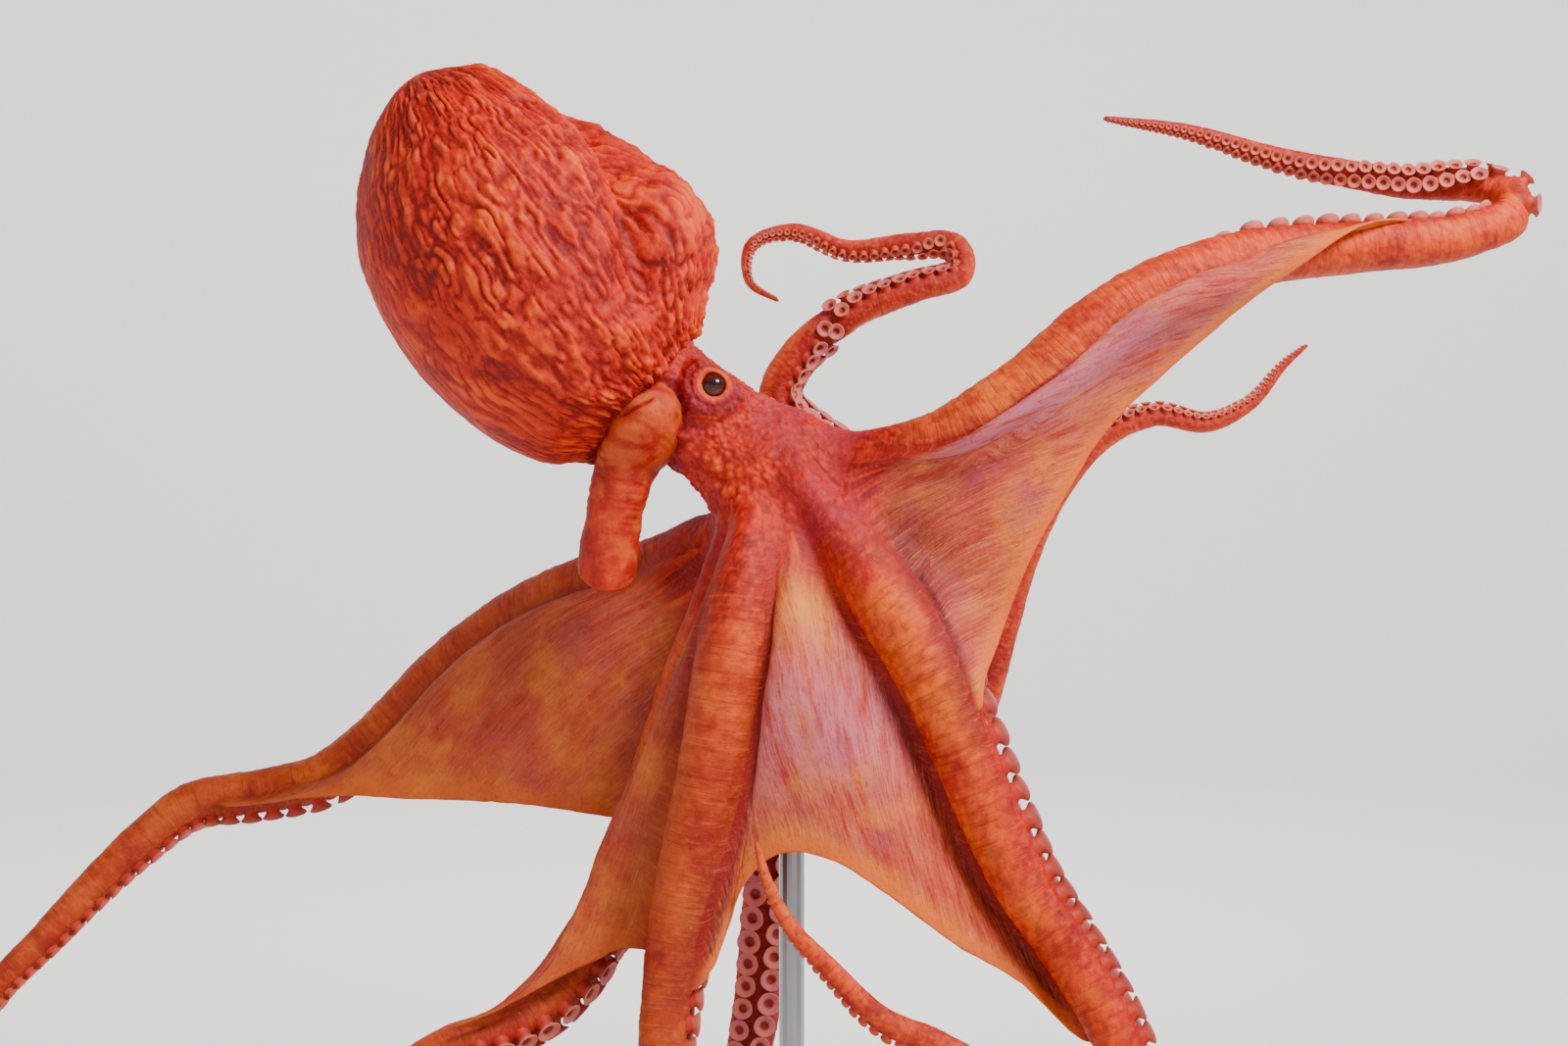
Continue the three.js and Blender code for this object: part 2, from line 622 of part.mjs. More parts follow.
const headCut = cutPlaneGap(headSections, 0)
const crownCut = cutPlaneGap(crownSections, 0)
const funnel = funnelRaw.subtract(mantleGrown)
const headWhole = headGrown(0).subtract(mantleGrown).subtract(crownGrown)
const head = headWhole.trimByPlane(headCut.way.toArray(), headCut.at)
  .subtract(funnelGrown).subtract(eyeBall(-1, gap)).subtract(eyeBall(1, gap))
keep('mantle', mantle, colours.mantle)
keep('siphon', funnel, colours.siphon)
keep('head', head, colours.head)
keep('eye_right', eyeBall(-1, 0), colours.eye)
keep('eye_left', eyeBall(1, 0), colours.eye)
keep('crown', crownSolid.trimByPlane(crownCut.way.toArray(), crownCut.at - gap), colours.head)

const bodyGrown = mantleGrown.add(funnelGrown).add(headGrown(gap)).add(crownGrown)
const armGrown = arms.map((arm) => {
  const stops = parts.flatMap((_, i) => ringStops(arm, i, 0).slice(i > 0 ? 1 : 0))
  let solid = armSolid(arm, stops, gap)
  for (const cup of suckersOn(arm, 0, arm.length, gap)) solid = solid.add(cup)
  return solid
})
arms.forEach((arm, k) => {
  parts.forEach((part, i) => {
    const stops = ringStops(arm, i, gap / 2)
    let solid = armSolid(arm, stops, 0)
    for (const cup of suckersOn(arm, stops[0], stops[stops.length - 1], 0)) solid = solid.add(cup)
    if (i === 0) {
      solid = solid.subtract(bodyGrown)
      if (k > 0) solid = solid.subtract(armGrown[k - 1])
      if (k === 7) solid = solid.subtract(armGrown[0])
    }
    keep(`${arm.name}_${part}`, solid, colours.arm)
  })
})
arms.forEach((arm, k) => {
  const next = arms[(k + 1) % arms.length]
  const beside = armGrown[k].add(armGrown[(k + 1) % arms.length]).add(bodyGrown)
  const solid = webSolid(arm, next).subtract(beside)
  keep(`web_${arm.name.slice(4)}_${next.name.slice(4)}`, solid, colours.web)
})

keep('stand_base', standBase(), colours.stand)
keep('stand_rod', rodSolid(98, 8, baseThick + gap, 940).subtract(crownGrown), colours.stand)

const group = new THREE.Group()
for (const piece of pieces) {
  const lumps = piece.solid.decompose().sort((a, b) => b.volume() - a.volume())
  const material = new THREE.MeshStandardMaterial({ color: piece.colour, roughness: 0.6 })
  const mesh = new THREE.Mesh(geometryFromSolid(lumps[0]), material)
  mesh.name = piece.name
  group.add(mesh)
}

export default group
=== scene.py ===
import math

import bpy
import mathutils
import numpy as np
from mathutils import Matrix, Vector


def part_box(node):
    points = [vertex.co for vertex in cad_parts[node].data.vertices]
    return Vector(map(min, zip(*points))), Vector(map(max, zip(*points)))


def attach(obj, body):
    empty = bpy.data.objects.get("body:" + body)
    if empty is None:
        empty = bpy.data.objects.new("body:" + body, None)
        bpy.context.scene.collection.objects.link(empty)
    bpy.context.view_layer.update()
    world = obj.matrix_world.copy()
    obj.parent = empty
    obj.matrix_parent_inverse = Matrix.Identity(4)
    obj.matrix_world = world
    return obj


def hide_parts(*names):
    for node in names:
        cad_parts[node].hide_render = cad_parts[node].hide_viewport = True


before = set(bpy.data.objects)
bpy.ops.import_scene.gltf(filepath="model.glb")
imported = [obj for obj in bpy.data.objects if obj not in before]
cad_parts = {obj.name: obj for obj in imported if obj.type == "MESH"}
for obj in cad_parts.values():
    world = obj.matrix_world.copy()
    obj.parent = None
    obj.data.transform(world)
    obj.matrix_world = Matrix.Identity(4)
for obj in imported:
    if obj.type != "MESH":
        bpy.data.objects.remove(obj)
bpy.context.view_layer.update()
print("frame loaded")

# lengths are worked out in millimetres and turned to metres when a mesh is made
toMetres = 0.001


def boxOf(node):
    low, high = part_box(node)
    return np.array(low) / toMetres, np.array(high) / toMetres


def mix(a, b, t):
    return a + (b - a) * t


def ease(x):
    t = np.clip(x, 0, 1)
    return t * t * (3 - 2 * t)


def hump(x, middle, width):
    return np.exp(-(((x - middle) / width) ** 2))


def unit(v):
    return v / np.maximum(np.linalg.norm(v, axis=-1, keepdims=True), 1e-9)


def dot(a, b):
    return np.sum(a * b, axis=-1, keepdims=True)


# cosine and sine of an angle in degrees
def circle(turn):
    return np.cos(np.radians(turn)), np.sin(np.radians(turn))


# the larger of the two, rounded over where they are within k
def softMax(a, b, k):
    h = np.clip(0.5 + 0.5 * (a - b) / k, 0, 1)
    return mix(b, a, h) + k * h * (1 - h)


def hermite(a, b, leave, reach, t):
    return (
        (2 * t**3 - 3 * t**2 + 1) * a + (t**3 - 2 * t**2 + t) * leave
        + (3 * t**2 - 2 * t**3) * b + (t**3 - t**2) * reach
    )


perSpan = 50  # points between two given points of a curve


def curveThrough(points):
    p = np.array(points, float)
    p = np.vstack([2 * p[0] - p[1], p, 2 * p[-1] - p[-2]])
    t = np.linspace(0, 1, perSpan, endpoint=False)[:, None]
    spans = []
    for a, b, c, d in zip(p, p[1:], p[2:], p[3:]):
        ab, bc, cd = [np.linalg.norm(v - u) ** 0.5 for u, v in ((a, b), (b, c), (c, d))]
        leave = ((b - a) / ab - (c - a) / (ab + bc) + (c - b) / bc) * bc
        reach = ((c - b) / bc - (d - b) / (bc + cd) + (d - c) / cd) * bc
        spans.append(hermite(b, c, leave, reach, t))
    return np.vstack(spans + [p[-2:-1]])


class Line:
    # a smooth line that is walked by distance
    def __init__(self, points):
        self.points = curveThrough(points)
        steps = np.linalg.norm(np.diff(self.points, axis=0), axis=1)
        self.trail = np.concatenate([[0], np.cumsum(steps)])
        self.length = self.trail[-1]

    def at(self, along):
        return np.stack([np.interp(along, self.trail, c) for c in self.points.T], axis=-1)

    def heading(self, along):
        near = np.clip(along, 2, self.length - 2)
        return unit(self.at(near + 2) - self.at(near - 2))


# a number from 0 to 1 for each cell of space, the same every time
def scramble(i, j, k, seed):
    whole = 2**32 - 1
    n = (i * 374761393 + j * 668265263 + k * 1440662683 + seed * 1274126177) & whole
    n = ((n ^ (n >> 13)) * 1274126177) & whole
    n = ((n ^ (n >> 16)) * 1103515245) & whole
    return (n ^ (n >> 15)) / whole


# a soft random field from -1 to 1, smooth in space
def noise(p, seed):
    cell = np.floor(p).astype(np.int64)
    f = p - cell
    f = f * f * f * (f * (f * 6 - 15) + 10)
    total = 0
    for dx in (0, 1):
        wx = f[:, 0] if dx else 1 - f[:, 0]
        for dy in (0, 1):
            wy = f[:, 1] if dy else 1 - f[:, 1]
            for dz in (0, 1):
                wz = f[:, 2] if dz else 1 - f[:, 2]
                corner = scramble(cell[:, 0] + dx, cell[:, 1] + dy, cell[:, 2] + dz, seed)
                total = total + wx * wy * wz * corner
    return total * 2 - 1


# the same field with finer and weaker ones on top
def layers(p, count, seed):
    return sum(0.5**i * noise(p * 2**i + 17.3 * i, seed + i) for i in range(count))


# ridges that run between the patches of the field, about -0.7 to 1.7
def ridges(p, seed):
    return np.abs(noise(p, seed)) * 2.4 - 0.7


# how far each point is from the nearest of a loose scatter of bumps, in units of their spacing
def bumpField(p, seed):
    cell = np.floor(p).astype(np.int64)
    nearest = np.full(len(p), 9.0)
    for dx in (-1, 0, 1):
        for dy in (-1, 0, 1):
            for dz in (-1, 0, 1):
                c = cell + np.array([dx, dy, dz])
                spot = [c[:, i] + scramble(*c.T, seed + i) for i in range(3)]
                nearest = np.minimum(nearest, np.sum((np.stack(spot, axis=-1) - p) ** 2, axis=1))
    return np.sqrt(nearest)


# the crown, where the arms spring from the head
crown = {
    "at": (85, 0, 963), "ring": 48, "lean": math.radians(38.3),
    "firstArm": 22.5, "apart": 45,  # degrees round the crown
    "armHalf": 13.5,  # the rest of the way round belongs to the webs
}
crownAt = np.array(crown["at"], float)
forward = np.array([math.sin(crown["lean"]), 0, -math.cos(crown["lean"])])
dorsal = np.array([math.cos(crown["lean"]), 0, math.sin(crown["lean"])])
rightward = np.array([0, -1, 0], float)

# route: where the middle of the arm runs. looks: (distance, way its suckers face).
# webs: how far out the webs to the next arm and to the one before are joined to it.
arms = [
    {
        "name": "arm_right_1", "webs": (780, 290),
        "route": [
            (188, -58, 997), (260, -76, 1015), (331, -90, 1062), (394, -92, 1119), (458, -85, 1160),
            (547, -70, 1192), (658, -56, 1206), (757, -50, 1215), (815, -40, 1234), (831, -20, 1258),
            (804, -2, 1274), (722, 10, 1279), (602, 12, 1302), (502, 10, 1331), (414, 6, 1344),
        ],
        "looks": [
            (0, 0, 0, -1), (150, 0, 0.45, -0.9), (400, 0, 0.8, -0.6), (560, 0, 0.8, 0.6),
            (770, 0.2, 0.85, 0.5), (812, 0.9, 0, 0.2), (860, 0.5, -0.7, 0.5), (940, 0.1, -0.95, 0.15),
            (1050, 0, -0.85, -0.5), (1250, 0, -0.85, -0.5),
        ],
    },
    {
        "name": "arm_right_2", "webs": (640, 300),
        "route": [
            (138, -82, 929), (181, -100, 868), (224, -110, 804), (257, -118, 733), (288, -122, 657),
            (323, -125, 581), (366, -130, 517), (402, -140, 456), (427, -150, 391), (430, -175, 332),
            (394, -205, 290), (342, -240, 309), (313, -265, 367), (277, -280, 422), (228, -288, 457),
            (179, -292, 480), (134, -295, 524), (94, -295, 568), (75, -293, 605), (64, -290, 644),
        ],
        "looks": [
            (0, -0.3, 0.95, -0.2), (150, 0.3, 0.93, 0.15), (300, 0.75, 0.6, 0.35),
            (600, 0.85, 0.35, 0.4), (750, 0.7, 0.5, -0.5), (820, 0, 0.2, -1), (900, -0.9, 0.3, -0.3),
            (1050, -0.4, 0.6, -0.7), (1345, -0.5, 0.85, 0),
        ],
    },
    {
        "name": "arm_right_3", "webs": (475, 505),
        "route": [
            (57, -85, 904), (46, -105, 842), (34, -112, 771), (20, -112, 694), (3, -108, 617),
            (-11, -105, 550), (-21, -105, 482), (-27, -112, 417), (-30, -128, 344), (-22, -150, 274),
            (2, -175, 215), (48, -198, 176), (107, -214, 170), (159, -222, 202), (182, -220, 254),
            (167, -212, 301), (131, -204, 316), (104, -198, 294),
        ],
        "looks": [
            (0, 0.3, 0.92, 0.24), (300, 0.4, 0.9, 0), (450, 0.85, 0.5, 0), (650, 0.9, 0.3, 0.2),
            (850, 0.2, 0.1, 0.95), (1020, -0.9, 0.1, 0.2), (1155, 0, 0.2, -0.9),
        ],
    },
    {
        "name": "arm_right_4", "webs": (345, 620),
        "route": [
            (29, -25, 864), (2, -10, 774), (-30, 10, 683), (-63, 20, 596), (-98, 5, 513),
            (-140, -20, 452), (-193, -45, 420), (-246, -70, 406), (-289, -85, 377), (-317, -90, 325),
            (-336, -85, 261), (-346, -70, 194), (-330, -50, 134), (-291, -30, 101), (-247, -10, 107),
            (-226, 5, 144), (-244, 15, 179),
        ],
        "looks": [
            (0, 0.8, 0.35, 0.2), (270, 0.75, 0.3, -0.3), (430, 0.6, -0.1, -0.7),
            (560, 0.4, -0.4, -0.85), (690, 0.8, -0.4, -0.4), (840, 0.9, -0.3, 0.1),
            (1000, 0.3, 0.2, 0.9), (1100, -0.7, 0.1, 0.6), (1170, -0.6, 0, -0.7),
        ],
    },
    {
        "name": "arm_left_4", "webs": (420, 735),
        "route": [
            (-8, 70, 903), (-67, 115, 874), (-138, 155, 854), (-216, 195, 816), (-292, 222, 760),
            (-357, 232, 696), (-422, 230, 648), (-494, 222, 632), (-563, 205, 621), (-618, 188, 578),
            (-666, 170, 529), (-710, 155, 480), (-755, 145, 432), (-790, 140, 370), (-786, 145, 300),
            (-736, 155, 258), (-681, 165, 274), (-672, 170, 321),
        ],
        "looks": [
            (0, 0.6, -0.4, -0.6), (160, 0.1, 0.3, -0.95), (700, 0.1, 0.45, -0.9),
            (980, 0.6, 0.3, -0.75), (1120, 0.95, 0.1, 0), (1230, 0, 0, 1), (1358, -0.8, 0, 0.3),
        ],
    },
    {
        "name": "arm_left_3", "webs": (300, 360),
        "route": [
            (90, 110, 871), (98, 155, 775), (92, 178, 677), (81, 188, 580), (70, 190, 483),
            (58, 188, 387), (38, 192, 300), (6, 208, 219), (-41, 238, 153), (-100, 278, 106),
            (-166, 318, 87), (-218, 345, 116), (-228, 352, 168), (-199, 350, 196), (-165, 345, 181),
        ],
        "looks": [
            (0, 0.3, -0.92, 0.24), (300, 0, -1, 0), (650, -0.1, -1, 0), (860, -0.7, -0.5, 0.5),
            (1000, 0, 0, 1), (1150, 0.9, 0, 0.3), (1239, -0.3, 0, -0.9),
        ],
    },
    {
        "name": "arm_left_2", "webs": (270, 310),
        "route": [
            (137, 140, 870), (182, 225, 760), (235, 300, 672), (289, 360, 666), (320, 395, 732),
            (347, 410, 818), (374, 412, 899), (414, 410, 975), (466, 408, 1032), (527, 406, 1057),
            (590, 410, 1048), (644, 420, 1073), (683, 430, 1117), (715, 435, 1144),
        ],
        "looks": [
            (0, -0.3, -0.92, -0.24), (290, 0, -0.6, 0.8), (450, -0.4, -0.4, 0.8), (600, -0.9, -0.4, 0),
            (850, -0.9, -0.3, 0.3), (1000, -0.3, -0.4, 0.85), (1220, -0.3, -0.4, 0.85),
        ],
    },
    {
        "name": "arm_left_1", "webs": (280, 270),
        "route": [
            (178, 100, 996), (250, 180, 989), (316, 265, 978), (340, 350, 968), (294, 430, 963),
            (214, 480, 982), (132, 500, 1030), (84, 500, 1083), (108, 495, 1134), (173, 490, 1186),
            (250, 490, 1216), (304, 495, 1234), (299, 500, 1266), (239, 505, 1269), (168, 505, 1263),
            (102, 500, 1285), (50, 492, 1267), (48, 485, 1222), (86, 480, 1197),
        ],
        "looks": [
            (0, 0, 0, -1), (300, -0.3, 0.1, -0.95), (600, 0.4, -0.6, 0.6), (800, 0.9, -0.2, 0.1),
            (1000, -0.2, -0.3, 0.9), (1080, -0.9, -0.2, 0), (1200, 0, -0.3, -0.9),
            (1390, 0.8, -0.3, 0.3), (1438, 0, -0.3, 0.9),
        ],
    },
]

# hem: the free edge of a near web; the far ones hang in a plain sag. swell: how much it bulges outward.
# flush: for each arm, 0 where it stands straight off the surface, 1 where it runs along it.
# lean: above 1 its strands crowd toward the second arm
webs = [
    {"swell": 4, "flush": (0.8, 0.3), "lean": 1.5, "hem": [
        (747, -80, 1240), (667, -90, 1227), (600, -98, 1185), (537, -98, 1140), (472, -95, 1084),
        (406, -92, 1020), (365, -95, 955), (326, -100, 885), (303, -104, 823),
    ]},
    {"swell": 26, "hem": [
        (375, -130, 432), (318, -130, 486), (259, -134, 520), (191, -142, 571), (137, -142, 605),
        (90, -132, 612), (59, -120, 590), (40, -112, 551), (27, -106, 511),
    ]},
    {"swell": 8, "hem": [
        (-74, -62, 506), (-95, -62, 496), (-131, -68, 480), (-161, -76, 465), (-199, -92, 447),
        (-235, -102, 436),
    ]},
    {"swell": 12, "hem": [
        (-82, 32, 624), (-160, 70, 633), (-237, 100, 636), (-317, 130, 635), (-398, 155, 636),
        (-474, 170, 626), (-532, 180, 612),
    ]},
    {"swell": 10, "sag": 0.3},
    {"swell": 10, "sag": 0.3},
    {"swell": 10, "sag": 0.3},
    {"swell": 10, "sag": 0.3},
]

armSize = {
    "root": 38, "tip": 2, "taper": 0.72, "start": 60, "around": 40, "ringGap": 3.2,
    "rootWide": 0.42, "rootHigh": 0.8, "fullFrom": 190,  # slimmer where it leaves the head
    "under": 0.78,  # the side with the suckers is flatter
}
webSize = {
    "columns": 56, "rowGap": 4.2, "thick": 3.4, "hemOut": 1.6,
    "next": 80.0, "last": 280.0,  # degrees round an arm, where the strands of its two webs start
    "turns": (50, 100), "crownTurn": 78, "crownReach": 200,  # where the web really meets the arm
    "bent": 9, "pull": 0.9, "sink": -1.0,  # columns that bend into the arm
}
start = armSize["start"]

for k, arm in enumerate(arms):
    turn = math.radians(crown["firstArm"] + crown["apart"] * k)
    root = crownAt + crown["ring"] * (dorsal * math.cos(turn) + rightward * math.sin(turn))
    arm["line"] = Line([root] + arm["route"])
    arm["length"] = arm["line"].length


def armFrame(arm, along):
    along = np.asarray(along, float)
    middle = arm["line"].at(along)
    heading = arm["line"].heading(along)
    starts = np.array([look[0] for look in arm["looks"]], float)
    ways = unit(np.array([look[1:] for look in arm["looks"]], float))
    i = np.clip(np.searchsorted(starts, along, side="right") - 1, 0, len(starts) - 2)
    part = ease((along - starts[i]) / (starts[i + 1] - starts[i]))[..., None]
    under = mix(ways[i], ways[i + 1], part)
    under = unit(under - heading * dot(under, heading))
    return middle, heading, under, np.cross(under, heading)


def armFull(arm, along):
    left = np.clip(1 - along / arm["length"], 0, 1)
    return armSize["tip"] + armSize["root"] * left ** armSize["taper"]


def armWidth(arm, along):
    return armFull(arm, along) * mix(armSize["rootWide"], 1, ease(along / armSize["fullFrom"]))


def armHeight(arm, along):
    return armFull(arm, along) * mix(armSize["rootHigh"], 1, ease(along / armSize["fullFrom"]))


# a point on the surface of an arm, turn degrees round from the middle of its outer face
def armPoint(arm, along, turn, extra=0):
    middle, heading, under, toNext = armFrame(arm, along)
    c, s = circle(turn)
    high = armHeight(arm, along) * np.where(c > 0, 1, armSize["under"]) + extra
    wide = armWidth(arm, along) + extra
    return middle - under * (c * high)[..., None] + toNext * (s * wide)[..., None]


# points of a sheet that would fall inside an arm are eased out to its side or its outer face
def keepOff(p, arm, reach):
    beyond = reach * 1.15
    walk = np.arange(0, beyond, 6.0)
    middle, heading, under, toNext = armFrame(arm, walk)
    flat = p.reshape(-1, 3)
    near = np.argmin(np.sum((flat[:, None, :] - middle[None]) ** 2, axis=2), axis=1)
    offset = flat - middle[near]
    along = np.clip(walk[near] + dot(offset, heading[near])[:, 0], 0, beyond)
    middle, heading, under, toNext = armFrame(arm, along)
    offset = flat - middle
    lengthwise = dot(offset, heading)
    aside = dot(offset, toNext)[:, 0]
    out = -dot(offset, under)[:, 0]
    away = np.hypot(aside, out)
    need = armWidth(arm, along) + 5
    wanted = softMax(away, need, 10)
    turn = np.arctan2(np.where(away < need, np.maximum(out, 0), out), aside)
    moved = middle + heading * lengthwise + toNext * (wanted * np.cos(turn))[:, None]
    moved = moved - under * (wanted * np.sin(turn))[:, None]
    return moved.reshape(p.shape)


def smoothRows(values, times):
    for _ in range(times):
        padded = np.concatenate([values[:1], values, values[-1:]])
        values = (padded[:-2] + 2 * padded[1:-1] + padded[2:]) / 4
    return values


# how far along the arm each point of a free edge lies, never turning back
def alongsideOf(arm, reach, turn, hem):
    walk = np.arange(start, reach, 3.0)
    way = armPoint(arm, walk, turn)
    nearest = walk[np.argmin(np.sum((hem[:, None] - way[None]) ** 2, axis=2), axis=1)]
    nearest = np.minimum.accumulate(np.append(reach, nearest[1:]))
    settling = ease(np.arange(len(hem)) / 3)
    return smoothRows(nearest, 4) * settling + reach * (1 - settling)


for k, web in enumerate(webs):
    arm, after = arms[k], arms[(k + 1) % 8]
    reach, reachAfter = arm["webs"][0], after["webs"][1]
    web["reach"] = (reach, reachAfter)
    rows = int(round((max(reach, reachAfter) - start) / webSize["rowGap"]))
    v = np.linspace(0, 1, rows + 1)
    u = np.linspace(0, 1, webSize["columns"] + 1)
    alongArm, alongAfter = mix(start, reach, v), mix(start, reachAfter, v)
    side = armPoint(arm, alongArm, webSize["next"])
    farSide = armPoint(after, alongAfter, webSize["last"])
    if "hem" in web:
        edge = Line([side[-1]] + web["hem"] + [farSide[-1]])
        hem = edge.at((1 - (1 - u) ** web.get("lean", 1)) * edge.length)
    else:
        drawn = 1 - web["sag"] * 4 * u * (1 - u)
        low = armPoint(arm, mix(start, reach, drawn), webSize["next"])
        far = armPoint(after, mix(start, reachAfter, drawn), webSize["last"])
        hem = mix(low, far, u[:, None])
    # each strand of the sheet follows both arms, the nearer one more
    rootLine = mix(side[:1], farSide[:1], u[:, None])
    strands = []
    for which, length, turn, order in (
        (arm, reach, webSize["next"], 1), (after, reachAfter, webSize["last"], -1),
    ):
        ends = alongsideOf(which, length, turn, hem[::order])[::order]
        along = mix(start, ends[None], v[:, None])
        base = armPoint(which, along, turn)
        strands.append(base + mix((rootLine - base[0])[None], (hem - base[-1])[None], v[:, None, None]))
    sheet = mix(strands[0], strands[1], ease(u)[None, :, None])
    unders = armFrame(arm, alongArm)[2][:, None], armFrame(after, alongAfter)[2][:, None]
    web["outward"] = -mix(*unders, u[None, :, None])
    swell = web["swell"] * 4 * u * (1 - u) * (np.sin(np.pi * v**0.85) ** 1.4)[:, None]
    sheet = sheet + unit(web["outward"]) * swell[..., None]
    sheet = keepOff(keepOff(sheet, arm, reach), after, reachAfter)
    # the sheet leaves each arm smoothly, from wherever round the arm it comes
    web["turns"] = []
    bent = webSize["bent"]
    step = u[bent]
    flush = web.get("flush", (0.3, 0.3))
    for which, along, sign, level in ((arm, alongArm, 1, flush[0]), (after, alongAfter, -1, flush[1])):
        middle, heading, under, toNext = armFrame(which, along)
        flipped = sheet[:, ::sign]  # the columns, counted from this arm
        target = flipped[:, bent]
        offset = target - middle
        aside = np.maximum(dot(offset, toNext)[:, 0] * sign, 0)
        turns = np.degrees(np.arctan2(aside, -dot(offset, under)[:, 0]))
        turns = smoothRows(np.clip(turns, *webSize["turns"]), 30)
        turns = mix(webSize["crownTurn"], turns, ease((along - start) / webSize["crownReach"]))
        web["turns"].append((along, turns))
        foot = armPoint(which, along, turns * sign, webSize["sink"])
        c, s = [part[:, None] for part in circle(turns)]
        radial = -under * c + toNext * s * sign
        radial = unit(mix(radial, under * s + toNext * c * sign, level))
        slope = (flipped[:, bent + 1] - flipped[:, bent - 1]) / (u[bent + 1] - u[bent - 1]) * step
        leave = radial * np.linalg.norm(target - foot, axis=1, keepdims=True) * webSize["pull"]
        t = (u[: bent + 1] / step)[None, :, None]
        flipped[:, : bent + 1] = hermite(foot[:, None], target[:, None], leave[:, None], slope[:, None], t)
    web["sheet"], web["v"], web["u"], web["along"] = sheet, v, u, (alongArm, alongAfter)
print("webs laid out")

# body sections from the apex of the mantle to the crown:
# (x, z, reach to the back, reach to the belly, reach to each side)
bodyRows = [
    (-287, 1386, 0, 0, 0), (-284, 1382, 20, 21, 19), (-277, 1371, 46, 48, 43),
    (-266, 1354, 72, 78, 69), (-250, 1330, 93, 108, 95), (-220, 1283, 117, 146, 128),
    (-192, 1238, 142, 158, 144), (-165, 1195, 160, 161, 152), (-138, 1158, 169, 160, 153),
    (-112, 1122, 162, 150, 146), (-84, 1090, 136, 128, 124), (-64, 1072, 108, 104, 98),
    (-52, 1062, 88, 86, 80), (-42, 1055, 74, 71, 67), (-30, 1049, 66, 61, 60),
    (-8, 1036, 62, 54, 57), (16, 1020, 61, 50, 58), (38, 1003, 66, 53, 63), (56, 988, 76, 61, 71),
]
mantle = {
    "neck": 13,  # the section where the mantle ends
    "rowGap": 3.0, "neckGap": 1.35,  # closer rows from the neck to the crown
    "groove": (8, 60), "grooveFrom": 0.3, "grooveDepth": 0.2, "grooveHalf": 11,
    "ridge": 0.05, "ridgeAt": -26, "ridgeHalf": 20,  # the back swells beside each groove
}
lids = {
    "open": 0.74,  # of the eyeball's radius
    "mound": 13.5, "crest": 4.5, "fall": (0.12, 0.022), "reach": 44, "clear": 4,
    "socket": 7, "slope": 0.3,
}
funnel = {
    "line": [
        (-30, -4, 1054), (-48, -14, 1034), (-65, -20, 1001), (-79, -18, 954), (-87, -14, 907),
        (-89, -12, 882),
    ],
    "deep": [28, 39, 43, 40, 32, 30, 29, 29, 29, 30, 29],
    "wide": [40, 68, 72, 58, 37, 32, 31, 31, 31, 32, 31],
    # the lip and the inside: (way past the mouth, growth of the radius)
    "lip": [
        (1.6, -0.2), (2.4, -1.6), (2.2, -3.4), (1.0, -4.6), (-2, -5.2), (-12, -5.8), (-30, -6.2), (-60, -7),
    ],
    "slant": 0.55,  # how far the mouth is cut on the skew
    "around": 176, "rows": 120,
}
factNames = (
    "face side share spread along turn size web oral mantle head weaveU weaveV rim siphon arm"
).split()


class Mesh:
    # points, faces and what each point knows about its place
    def __init__(self):
        self.points, self.faces, self.facts, self.count = [], [], {}, 0

    def add(self, points, **facts):
        shape = points.shape[:-1]
        for name in factNames:
            value = np.broadcast_to(np.asarray(facts.get(name, 0.0), float), shape)
            self.facts.setdefault(name, []).append(value.reshape(-1))
        points = points.reshape(-1, 3)
        self.points.append(points)
        self.count += len(points)
        return np.arange(self.count - len(points), self.count).reshape(shape)

    # quads between two rows of the same length
    def strip(self, a, b, closed=False):
        if closed:
            a, b = np.append(a, a[0]), np.append(b, b[0])
        self.faces.append(np.stack([a[:-1], a[1:], b[1:], b[:-1]], axis=1))

    def grid(self, rows, closed=False):
        for a, b in zip(rows, rows[1:]):
            self.strip(a, b, closed)

    def triangles(self, corners):
        corners = np.array(corners).reshape(-1, 3)
        self.faces.append(np.column_stack([corners, np.full(len(corners), -1)]))

    # closes a ring on one point, which comes last in each triangle, or first
    def fan(self, ring, centre, first=False):
        after, centres = np.roll(ring, -1), np.full(len(ring), centre)
        self.triangles(np.column_stack([centres, after, ring] if first else [ring, after, centres]))

    # triangles between two rows whose points don't pair up, matched by how far along each one is
    def zip(self, a, placesA, b, placesB):
        i = j = 0
        made = []
        while i < len(a) - 1 or j < len(b) - 1:
            if j == len(b) - 1 or (i < len(a) - 1 and placesA[i + 1] <= placesB[j + 1]):
                made.append((a[i], a[i + 1], b[j]))
                i += 1
            else:
                made.append((a[i], b[j + 1], b[j]))
                j += 1
        self.triangles(made)


skin = Mesh()
around = armSize["around"]
following = np.roll(np.arange(around), -1)
quarter = around // 4
outerArc = list(range(around - quarter, around)) + list(range(quarter))
innerArc = list(range(quarter, around - quarter))

